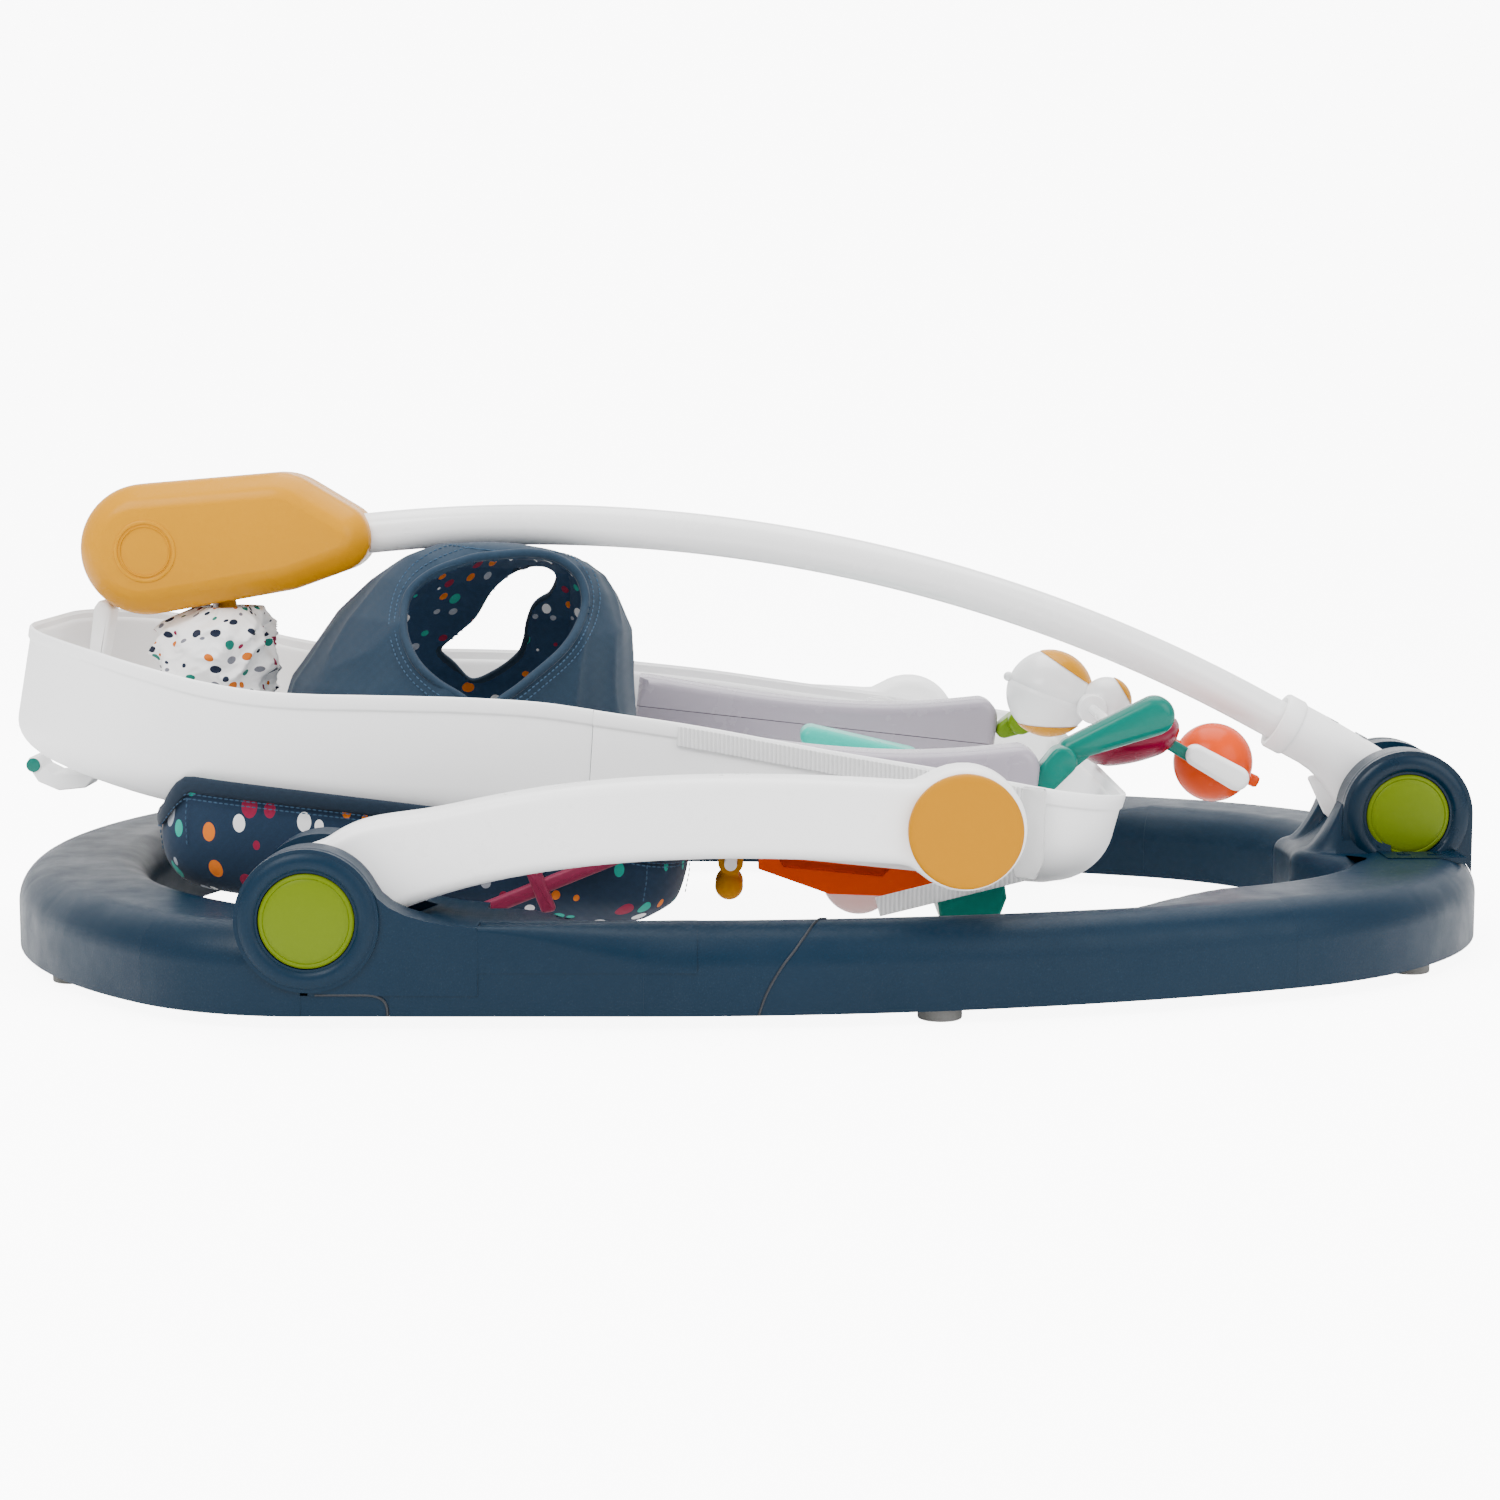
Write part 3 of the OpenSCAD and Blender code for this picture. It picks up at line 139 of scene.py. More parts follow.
# Shapes: each is an array of points and a list of faces

def grid_faces(rows, cols, round_rows=False, round_cols=True):
    """Faces of a grid of points, closed round its rows or columns where asked."""
    return [
        (i * cols + j, i * cols + (j + 1) % cols,
         (i + 1) % rows * cols + (j + 1) % cols, (i + 1) % rows * cols + j)
        for i in range(rows if round_rows else rows - 1)
        for j in range(cols if round_cols else cols - 1)
    ]


def grid_layout(across, along):
    """Places of a grid's face corners on flat cloth, from the lengths at its columns and rows."""
    return [((a, c), (b, c), (b, d), (a, d))
            for c, d in zip(along[:-1], along[1:]) for a, b in zip(across[:-1], across[1:])]


def loft(rings, loop=False):
    """Skin over rings of points, its ends closed unless it is a loop."""
    rings = np.asarray(rings, float)
    rows, cols = rings.shape[:2]
    faces = grid_faces(rows, cols, round_rows=loop)
    if not loop:
        faces += [tuple(range(cols)), tuple(range((rows - 1) * cols, rows * cols))]
    return rings.reshape(-1, 3), faces


def placed(shape, place):
    """A shape carried from a piece's frame to its place."""
    return place(shape[0]), shape[1]


def moved(shape, offset):
    """A shape shifted by an offset."""
    return np.asarray(shape[0]) + offset, shape[1]


def lathe(profile, n=64):
    """Turned piece about Z from (radius, height) points."""
    a = np.linspace(0, 2 * math.pi, n, endpoint=False)
    return loft([np.stack([r * np.cos(a), r * np.sin(a), 0 * a + h], 1) for r, h in profile])


def aimed(shape, axis):
    """A piece made along Z, laid along another axis."""
    turn = np.array(Vector((0, 0, 1)).rotation_difference(Vector(axis)).to_matrix())
    return np.asarray(shape[0]) @ turn.T, shape[1]


def ball(r, n=64, cut=(0.0, 180.0)):
    """Ball about Z, or the part of it between two angles from its top."""
    steps = max(6, int(n / 2 * (cut[1] - cut[0]) / 180))
    angles = np.radians(np.linspace(cut[0], cut[1], steps + 1))
    return lathe([(r * math.sin(t), r * math.cos(t)) for t in angles], n)


def bar(at, r, y0, y1, edge=1.0, n=48):
    """Round bar along Y at a side-view point, with rounded ends."""
    profile = [(r - edge, y0), (r - edge * 0.3, y0 + edge * 0.3), (r, y0 + edge),
               (r, y1 - edge), (r - edge * 0.3, y1 - edge * 0.3), (r - edge, y1)]
    p, faces = lathe(profile, n)
    return np.stack([p[:, 0] + at[0], p[:, 2], p[:, 1] + at[1]], 1), faces


def wound(outline):
    """Outline running anticlockwise."""
    o = np.asarray(outline, float)
    x, z = o[:, 0], o[:, 1]
    return o if (x * np.roll(z, -1) - np.roll(x, -1) * z).sum() > 0 else o[::-1]


def outward(outline):
    """Directions square to an anticlockwise outline, pointing out."""
    d = np.roll(outline, -1, 0) - np.roll(outline, 1, 0)
    d /= np.maximum(np.linalg.norm(d, axis=1), 1e-9)[:, None]
    return np.stack([d[:, 1], -d[:, 0]], 1)


def rounded(points, radius, steps=5):
    """Closed outline with rounded corners."""
    p = np.asarray(points, float)
    radii = np.broadcast_to(radius, len(p))
    out = []
    for i, q in enumerate(p):
        a, b = p[i - 1] - q, p[(i + 1) % len(p)] - q
        la, lb = np.linalg.norm(a), np.linalg.norm(b)
        half = math.acos(max(-0.999, min(0.999, a @ b / la / lb))) / 2
        t = min(radii[i] / math.tan(half), 0.46 * la, 0.46 * lb)
        start, end = q + a / la * t, q + b / lb * t
        for k in range(steps + 1):
            s = k / steps
            out.append((1 - s) ** 2 * start + 2 * s * (1 - s) * q + s * s * end)
    return np.array(out)


def around(circles, spacing=4.0):
    """Outline round a set of circles (x, z, r), evenly spaced, with its outward directions."""
    a = np.linspace(0, 2 * math.pi, 2880, endpoint=False)
    d = np.stack([np.cos(a), np.sin(a)], 1)
    c = np.array(circles, float)
    k = (d @ c[:, :2].T + c[:, 2]).argmax(1)
    p = c[k, :2] + c[k, 2:] * d
    p, d = np.vstack([p, p[:1]]), np.vstack([d, d[:1]])
    run = np.r_[0, np.cumsum(np.linalg.norm(np.diff(p, axis=0), axis=1))]
    t = np.linspace(0, run[-1], int(run[-1] / spacing), endpoint=False)
    points = np.stack([np.interp(t, run, p[:, i]) for i in (0, 1)], 1)
    facing = np.stack([np.interp(t, run, d[:, i]) for i in (0, 1)], 1)
    return points, facing / np.linalg.norm(facing, axis=1)[:, None]


def quarter(edge, steps):
    """(inset, depth) steps of a rounded rim."""
    return [(edge * (1 - math.sin(t)), edge * (1 - math.cos(t)))
            for t in np.linspace(0, math.pi / 2, steps + 1)]


def slab(outline, y0, y1, edge=2.0, steps=5):
    """Flat moulding between two Y planes with rounded rims."""
    o = wound(outline)
    n = outward(o)
    rims = quarter(edge, steps)
    levels = [(i, y0 + d) for i, d in rims] + [(i, y1 - d) for i, d in rims[::-1]]
    return loft([np.stack([o[:, 0] - n[:, 0] * i, 0 * o[:, 0] + y, o[:, 1] - n[:, 1] * i], 1)
                 for i, y in levels])


def leaf(p, q, r0, r1, y0, y1, edge=3.0):
    """Rounded flat link between two side-view points."""
    return slab(around([(*p, r0), (*q, r1)], 2.0)[0], y0, y1, edge)


def sweep(path, section, up=(0, 1, 0), loop=False):
    """Section (across, along up) carried along a path."""
    path, section = np.asarray(path, float), np.asarray(section, float)
    if loop:
        d = np.roll(path, -1, 0) - np.roll(path, 1, 0)
    else:
        d = np.gradient(path, axis=0)
    d /= np.linalg.norm(d, axis=1)[:, None]
    up = np.broadcast_to(np.asarray(up, float), path.shape)
    side = np.cross(d, up)
    side /= np.linalg.norm(side, axis=1)[:, None]
    lift = np.cross(side, d)
    return loft(path[:, None] + section[None, :, :1] * side[:, None]
                + section[None, :, 1:] * lift[:, None], loop)


def oval(a, b, n=16):
    """Points round an oval of two half widths."""
    t = np.linspace(0, 2 * math.pi, n, endpoint=False)
    return np.stack([a * np.cos(t), b * np.sin(t)], 1)


def ease(t):
    """Smooth step from 0 to 1."""
    t = np.clip(t, 0, 1)
    return t * t * (3 - 2 * t)


def smooth_line(points, n=6):
    """Curve through points, n steps a span."""
    p = np.asarray(points, float)
    out = []
    for i in range(len(p) - 1):
        a, b, c, d = p[max(i - 1, 0)], p[i], p[i + 1], p[min(i + 2, len(p) - 1)]
        for k in range(n):
            t = k / n
            out.append(0.5 * (2 * b + (c - a) * t + (2 * a - 5 * b + 4 * c - d) * t * t
                              + (3 * b - a - 3 * c + d) * t ** 3))
    return np.array(out + [p[-1]])


# Pieces in the scene

def mesh_of(name, shapes):
    """One mesh in metres from several shapes: points, faces, a material's number and a print layout."""
    bm = bmesh.new()
    layer = bm.loops.layers.uv.new("print")
    for shape in shapes:
        points, faces, mark, layout = tuple(shape) + (0, None)[len(shape) - 2:]
        verts = [bm.verts.new(p) for p in np.asarray(points, float) * MM]
        for i, f in enumerate(faces):
            face = bm.faces.new([verts[k] for k in f])
            face.material_index = mark
            if layout is not None and i < len(layout):
                for corner, at in zip(face.loops, layout[i]):
                    corner[layer].uv = (at[0] * MM, at[1] * MM)
    bmesh.ops.remove_doubles(bm, verts=bm.verts, dist=2e-6)
    bmesh.ops.recalc_face_normals(bm, faces=bm.faces)
    mesh = bpy.data.meshes.new(name)
    bm.to_mesh(mesh)
    bm.free()
    return mesh


def show(name, mesh, finishes, body, stands_for=(), sharp=38):
    """Puts a finished mesh in the scene on its body."""
    finishes = finishes if isinstance(finishes, (list, tuple)) else [finishes]
    marks = np.zeros(len(mesh.polygons), np.int32)
    mesh.polygons.foreach_get("material_index", marks)
    mesh.materials.clear()
    for finish in finishes:
        mesh.materials.append(finish)
    mesh.polygons.foreach_set("material_index", np.minimum(marks, len(finishes) - 1))
    mesh.shade_smooth()
    mesh.set_sharp_from_angle(angle=math.radians(sharp))
    piece = bpy.data.objects.new(name, mesh)
    bpy.context.scene.collection.objects.link(piece)
    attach(piece, body)
    if stands_for:
        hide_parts(*stands_for)
    return piece


def make(name, shapes, finishes, body, stands_for=(), sharp=38):
    """Puts a piece made of one or more shapes in the scene."""
    return show(name, mesh_of(name, shapes), finishes, body, stands_for, sharp)


def evaluated(piece):
    """Plain mesh of an object with its modifiers applied."""
    bpy.context.view_layer.update()
    return bpy.data.meshes.new_from_object(
        piece.evaluated_get(bpy.context.evaluated_depsgraph_get()))


def worked(mesh, *modifiers):
    """Mesh after a few modifiers, given as (type, settings)."""
    bench = bpy.data.objects.new("bench", mesh)
    bpy.context.scene.collection.objects.link(bench)
    for kind, settings in modifiers:
        m = bench.modifiers.new(kind, kind)
        for key, value in settings.items():
            setattr(m, key, value)
    result = evaluated(bench)
    bpy.data.objects.remove(bench)
    return result


def shape_of(mesh):
    """A mesh back as a shape in millimetres."""
    points = np.array([v.co for v in mesh.vertices]) / MM
    return points, [tuple(f.vertices) for f in mesh.polygons]


def cad_copy(node):
    """A CAD node's mesh as a copy, merged, with its flat faces made whole."""
    mesh = frame["nodes"][node].data.copy()
    bm = bmesh.new()
    bm.from_mesh(mesh)
    bmesh.ops.remove_doubles(bm, verts=bm.verts, dist=1e-6)
    bmesh.ops.dissolve_limit(bm, angle_limit=math.radians(0.4), verts=bm.verts, edges=bm.edges,
                             delimit={"NORMAL"})
    bm.to_mesh(mesh)
    bm.free()
    return mesh


def dress(node, finish, edge, segments=2, cutters=()):
    """A CAD node's own shape with its sharp edges broken, and first cut by other meshes if given."""
    body = frame["nodes"][node]["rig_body"]
    mesh = cad_copy(node)
    for cutter in cutters:
        tool = bpy.data.objects.new("cutter", cutter)
        bpy.context.scene.collection.objects.link(tool)
        mesh = worked(mesh, ("BOOLEAN", dict(operation="DIFFERENCE", solver="EXACT", object=tool)))
        bpy.data.objects.remove(tool)
    if edge:
        mesh = worked(mesh, ("BEVEL", dict(width=edge * MM, segments=segments, limit_method="ANGLE",
                                           angle_limit=math.radians(40), use_clamp_overlap=True)))
    piece = show(node + "_dressed", mesh, finish, body, [node])
    even = piece.modifiers.new("even", "WEIGHTED_NORMAL")
    even.keep_sharp = True
    return piece


# Finishes

def linear(r, g, b):
    """Linear colour from display values 0 to 255."""
    return tuple(((v / 255 + 0.055) / 1.055) ** 2.4 if v > 10 else v / 255 / 12.92
                 for v in (r, g, b)) + (1.0,)


class Finish:
    """A material's node tree, with short ways to add its nodes."""

    def __init__(self, name):
        self.material = bpy.data.materials.new(name)
        self.material.use_nodes = True
        self.nodes, self.links = self.material.node_tree.nodes, self.material.node_tree.links
        self.shader = self.nodes["Principled BSDF"]
        self.place = self.node("ShaderNodeTexCoord").outputs["Object"]

    def node(self, kind, **settings):
        n = self.nodes.new(kind)
        for key, value in settings.items():
            setattr(n, key, value)
        return n

    def link(self, source, target):
        self.links.new(source, target)

    def put(self, **values):
        for key, value in values.items():
            self.shader.inputs[key.replace("_", " ")].default_value = value

    def mapped(self, scale=(1, 1, 1), turn=(0, 0, 0)):
        n = self.node("ShaderNodeMapping")
        n.inputs["Scale"].default_value = scale
        n.inputs["Rotation"].default_value = [math.radians(t) for t in turn]
        self.link(self.place, n.inputs["Vector"])
        return n.outputs["Vector"]

    def cloud(self, scale, detail=3.0, rough=0.55, at=None):
        n = self.node("ShaderNodeTexNoise")
        n.inputs["Scale"].default_value = scale
        n.inputs["Detail"].default_value = detail
        n.inputs["Roughness"].default_value = rough
        self.link(at or self.place, n.inputs["Vector"])
        return n.outputs["Fac"]

    def ramp(self, source, stops, stepped=False):
        n = self.node("ShaderNodeValToRGB")
        n.color_ramp.interpolation = "CONSTANT" if stepped else "LINEAR"
        e = n.color_ramp.elements
        while len(e) < len(stops):
            e.new(0.5)
        for i, (at, colour) in enumerate(stops):
            e[i].position = at
            e[i].color = colour
        self.link(source, n.inputs["Fac"])
        return n.outputs["Color"]

    def between(self, source, low, high, start=0.0, end=1.0):
        n = self.node("ShaderNodeMapRange")
        for key, value in zip(("From Min", "From Max", "To Min", "To Max"), (start, end, low, high)):
            n.inputs[key].default_value = value
        self.link(source, n.inputs["Value"])
        return n.outputs["Result"]

    def sum_of(self, a, b, kind="ADD"):
        n = self.node("ShaderNodeMath", operation=kind)
        for i, x in enumerate((a, b)):
            if isinstance(x, (int, float)):
                n.inputs[i].default_value = x
            else:
                self.link(x, n.inputs[i])
        return n.outputs[0]

    def mix(self, share, a, b):
        n = self.node("ShaderNodeMix", data_type="RGBA")
        self.link(share, n.inputs[0])
        for socket, x in ((n.inputs[6], a), (n.inputs[7], b)):
            if isinstance(x, tuple):
                socket.default_value = x
            else:
                self.link(x, socket)
        return n.outputs[2]

    def bumps(self, height, depth, strength=1.0):
        n = self.node("ShaderNodeBump")
        n.inputs["Distance"].default_value = depth * MM
        n.inputs["Strength"].default_value = strength
        self.link(height, n.inputs["Height"])
        self.link(n.outputs["Normal"], self.shader.inputs["Normal"])

    def colour(self, source):
        self.link(source, self.shader.inputs["Base Color"])

    def roughness(self, source):
        self.link(source, self.shader.inputs["Roughness"])


def shade_of(colour, k):
    """A colour made lighter or darker."""
    return tuple(min(1.0, c * k) for c in colour[:3]) + (1.0,)


def moulded(name, rgb, rough=0.34, grain=700.0, depth=0.05, mottle=0.05, coat=0.0, **values):
    """Moulded plastic: faint colour drift, fine surface grain, uneven gloss and light scuffs."""
    f = Finish(name)
    base = linear(*rgb)
    drift = f.cloud(5.0, 4.0)
    tone = f.ramp(drift, [(0.3, shade_of(base, 1 - mottle)), (0.7, shade_of(base, 1 + mottle))])
    scuff = f.cloud(26.0, 6.0, 0.7, f.mapped((1, 3, 7), (0, 20, 15)))
    worn = f.between(scuff, 0.0, 0.35, 0.66, 0.8)
    f.colour(f.mix(worn, tone, shade_of(base, 1.12)))
    gloss = f.between(f.cloud(42.0, 5.0), rough - 0.06, rough + 0.06, 0.3, 0.7)
    f.roughness(f.sum_of(gloss, f.between(scuff, 0.0, 0.1, 0.6, 0.8)))
    f.bumps(f.cloud(grain, 2.0), depth)
    f.put(**{"IOR": 1.48, "Coat_Weight": coat, **values})
    return f.material


def metal(name, rgb, rough=0.3):
    """Drawn steel with fine streaks."""
    f = Finish(name)
    streak = f.cloud(300.0, 3.0, 0.6, f.mapped((1, 12, 1)))
    f.colour(f.ramp(streak, [(0.3, shade_of(linear(*rgb), 0.85)), (0.7, linear(*rgb))]))
    f.roughness(f.between(streak, rough - 0.08, rough + 0.1))
    f.bumps(streak, 0.02)
    f.put(Metallic=1.0)
    return f.material


def clear(name, rgb, rough=0.08):
    """Clear plastic with a faint ripple."""
    f = Finish(name)
    ripple = f.cloud(60.0, 3.0)
    f.colour(f.ramp(ripple, [(0.2, shade_of(linear(*rgb), 0.96)), (0.8, linear(*rgb))]))
    f.roughness(f.between(ripple, rough, rough + 0.08))
    f.bumps(ripple, 0.08)
    f.put(Transmission_Weight=0.6, IOR=1.46)
    return f.material


def weave_of(f, threads=1150.0):
    """Height of a plain weave, two sets of threads crossing."""
    sets = []
    for turn in ((0, 45, 0), (0, -45, 0)):
        n = f.node("ShaderNodeTexWave", bands_direction="X")
        n.inputs["Scale"].default_value = threads / 20
        n.inputs["Distortion"].default_value = 1.2
        n.inputs["Detail"].default_value = 1.0
        f.link(f.mapped((1, 0.6, 1), turn), n.inputs["Vector"])
        sets.append(n.outputs["Fac"])
    return f.sum_of(sets[0], sets[1])


def cloth(name, rgb, rough=0.82, dots=(), cell=17.0, size=(0.12, 0.3), sheen=0.08, lap=0.07):
    """Woven cloth with a soft nap, and a loose flat print of round dots where colours are given."""
    f = Finish(name)
    base = linear(*rgb)
    fade = f.cloud(9.0, 5.0)
    thread = weave_of(f)
    tone = f.ramp(fade, [(0.3, shade_of(base, 1 - lap * 1.3)), (0.7, shade_of(base, 1 + lap))])
    tone = f.mix(f.between(f.cloud(900.0, 2.0), 0.0, 0.3, 0.4, 0.7), tone, shade_of(base, 1.5))
    if dots:
        n = f.node("ShaderNodeTexVoronoi", feature="F1", voronoi_dimensions="2D")
        n.inputs["Scale"].default_value = 1 / (cell * MM)
        n.inputs["Randomness"].default_value = 0.85
        f.link(f.node("ShaderNodeUVMap", uv_map="print").outputs["UV"], n.inputs["Vector"])
        parts = f.node("ShaderNodeSeparateColor")
        f.link(n.outputs["Color"], parts.inputs["Color"])
        reach = f.between(parts.outputs["Red"], size[0], size[1])
        inside = f.sum_of(n.outputs["Distance"], reach, "LESS_THAN")
        palette = f.ramp(parts.outputs["Green"],
                         [(i / len(dots), linear(*c)) for i, c in enumerate(dots)], stepped=True)
        tone = f.mix(inside, tone, palette)
    f.colour(tone)
    f.roughness(f.between(fade, rough - 0.05, rough + 0.06))
    f.bumps(f.sum_of(thread, f.cloud(140.0, 3.0)), 0.1, 0.5)
    f.put(Sheen_Weight=sheen, Sheen_Roughness=0.5, IOR=1.4)
    return f.material


def ribbed(name, rgb, pitch=2.6):
    """White moulded strap with fine cross ribs, its colour darker in the ribs' grooves as painted shade."""
    f = Finish(name)
    base = linear(*rgb)
    n = f.node("ShaderNodeTexWave", bands_direction="X")
    n.inputs["Scale"].default_value = 0.314 / (pitch * MM)
    n.inputs["Distortion"].default_value = 0.3
    f.link(f.place, n.inputs["Vector"])
    # Painted shade: the waves that raise the ribs also darken the colour in their grooves
    f.colour(f.ramp(n.outputs["Fac"], [(0.1, shade_of(base, 0.8)), (0.6, base)]))
    f.roughness(f.between(f.cloud(60.0), 0.35, 0.5))
    f.bumps(n.outputs["Fac"], 0.8)
    return f.material


def solid_colour(name, rgb, rough, mottle, gloss, grain=600, depth=0.02):
    """Moulded plastic in a strong colour, with its white reflections held down."""
    return moulded(name, rgb, rough, grain, depth, mottle, Specular_IOR_Level=gloss)


def whitish(name, grey, rough, grain=900, depth=0.03, coat=0.0):
    """Moulded plastic in a pale grey or white."""
    return moulded(name, (grey, grey, grey), rough, grain, depth, mottle=0.01, coat=coat)


DOTS_ON_NAVY = [(228, 228, 228), (128, 2, 50), (0, 150, 132), (206, 104, 0), (150, 156, 166), (228, 228, 228)]
DOTS_ON_WHITE = [(6, 22, 46), (128, 2, 56), (0, 110, 96), (190, 96, 0), (110, 112, 122), (6, 22, 46)]

ring_navy = solid_colour("ring_navy", (0, 28, 46), 0.42, 0.08, 0.17, 1100, 0.12)
bracket_navy = solid_colour("bracket_navy", (0, 26, 43), 0.3, 0.05, 0.2, 1100, 0.04)
tray_white = whitish("tray_white", 246, 0.4)
leg_white = whitish("leg_white", 246, 0.32)
tube_white = whitish("tube_white", 240, 0.24, 500, 0.02, coat=0.3)
housing_yellow = solid_colour("housing_yellow", (192, 130, 0), 0.26, 0.03, 0.1, 900)
cap_yellow = solid_colour("cap_yellow", (172, 114, 0), 0.45, 0.03, 0.06, 900, 0.03)
button_lime = solid_colour("button_lime", (88, 106, 0), 0.42, 0.04, 0.14, 900, 0.03)
rail_grey = moulded("rail_grey", (150, 143, 154), rough=0.26, grain=700, depth=0.03, mottle=0.02)
toy_teal = solid_colour("toy_teal", (0, 100, 88), 0.22, 0.04, 0.2)
toy_mint = solid_colour("toy_mint", (6, 176, 158), 0.3, 0.03, 0.2)
toy_magenta = solid_colour("toy_magenta", (112, 0, 38), 0.24, 0.04, 0.2)
toy_orange = solid_colour("toy_orange", (206, 64, 0), 0.24, 0.03, 0.14)
toy_lime = solid_colour("toy_lime", (92, 124, 0), 0.28, 0.04, 0.2)
toy_white = whitish("toy_white", 244, 0.22, 600, 0.02, coat=0.2)
dark_plastic = moulded("dark_plastic", (16, 20, 28), rough=0.45, grain=900, depth=0.08, mottle=0.08)
foot_rubber = moulded("foot_rubber", (100, 100, 98), rough=0.7, grain=500, depth=0.12, mottle=0.08)
steel = metal("steel", (186, 188, 192))
clear_plastic = clear("clear_plastic", (248, 248, 248))
navy_cloth = cloth("navy_cloth", (8, 36, 55))
binding_cloth = cloth("binding_cloth", (3, 26, 44))
dotted_cloth = cloth("dotted_cloth", (4, 34, 58), dots=DOTS_ON_NAVY, cell=13.0, size=(0.1, 0.28))
lining_cloth = cloth("lining_cloth", (20, 54, 84), dots=DOTS_ON_NAVY, cell=16.0, size=(0.07, 0.28))
sleeve_cloth = cloth("sleeve_cloth", (244, 244, 244), dots=DOTS_ON_WHITE, cell=11.5, size=(0.1, 0.31),
                     sheen=0.05, lap=0.02)
magenta_cloth = cloth("magenta_cloth", (112, 6, 50), rough=0.6)
white_webbing = cloth("white_webbing", (236, 236, 236), rough=0.6, sheen=0.05, lap=0.02)
ribbed_white = ribbed("ribbed_white", (240, 240, 240))
navy_thread = cloth("navy_thread", (40, 68, 92))


# Node trees that lay repeated things along lines and at points

def new_tree(name, inputs):
    """Geometry Nodes tree with named inputs beside its geometry."""
    tree = bpy.data.node_groups.new(name, "GeometryNodeTree")
    tree.interface.new_socket("Geometry", in_out="INPUT", socket_type="NodeSocketGeometry")
    for label, kind, value in inputs:
        socket = tree.interface.new_socket(label, in_out="INPUT", socket_type=kind)
        if value is not None:
            socket.default_value = value
    tree.interface.new_socket("Geometry", in_out="OUTPUT", socket_type="NodeSocketGeometry")
    return tree


def ending(tree, group_in, instances):
    """Realizes what a tree has laid out and gives it its material."""
    real = tree.nodes.new("GeometryNodeRealizeInstances")
    paint = tree.nodes.new("GeometryNodeSetMaterial")
    out = tree.nodes.new("NodeGroupOutput")
    tree.links.new(instances, real.inputs["Geometry"])
    tree.links.new(real.outputs["Geometry"], paint.inputs["Geometry"])
    tree.links.new(group_in.outputs["Material"], paint.inputs["Material"])
    tree.links.new(paint.outputs["Geometry"], out.inputs["Geometry"])


def stitch_tree():
    """Short rounded stitches along a line."""
    tree = new_tree("stitches", [
        ("Pitch", "NodeSocketFloat", 0.004), ("Length", "NodeSocketFloat", 0.0026),
        ("Thread", "NodeSocketFloat", 0.0005), ("Material", "NodeSocketMaterial", None)])
    add, link = tree.nodes.new, tree.links.new
    group = add("NodeGroupInput")
    line = add("GeometryNodeMeshToCurve")
    points = add("GeometryNodeCurveToPoints")
    points.mode = "LENGTH"
    grain = add("GeometryNodeMeshUVSphere")
    grain.inputs["Segments"].default_value = 6
    grain.inputs["Rings"].default_value = 5
    grain.inputs["Radius"].default_value = 0.5
    size = add("ShaderNodeCombineXYZ")
    lay = add("GeometryNodeInstanceOnPoints")
    link(group.outputs["Geometry"], line.inputs["Mesh"])
    link(line.outputs["Curve"], points.inputs["Curve"])
    link(group.outputs["Pitch"], points.inputs["Length"])
    link(points.outputs["Points"], lay.inputs["Points"])
    link(points.outputs["Rotation"], lay.inputs["Rotation"])
    link(grain.outputs["Mesh"], lay.inputs["Instance"])
    link(group.outputs["Thread"], size.inputs["X"])
    link(group.outputs["Thread"], size.inputs["Y"])
    link(group.outputs["Length"], size.inputs["Z"])
    link(size.outputs["Vector"], lay.inputs["Scale"])
    ending(tree, group, lay.outputs["Instances"])
    return tree


def piping_tree():
    """Round piping along a line."""
    tree = new_tree("piping", [
        ("Radius", "NodeSocketFloat", 0.002), ("Material", "NodeSocketMaterial", None)])
    add, link = tree.nodes.new, tree.links.new
    group = add("NodeGroupInput")
    line = add("GeometryNodeMeshToCurve")
    section = add("GeometryNodeCurvePrimitiveCircle")
    section.inputs["Resolution"].default_value = 10
    tube = add("GeometryNodeCurveToMesh")
    tube.inputs["Fill Caps"].default_value = True
    link(group.outputs["Geometry"], line.inputs["Mesh"])
    link(line.outputs["Curve"], tube.inputs["Curve"])
    link(group.outputs["Radius"], section.inputs["Radius"])
    link(section.outputs["Curve"], tube.inputs["Profile Curve"])
    ending(tree, group, tube.outputs["Mesh"])
    return tree


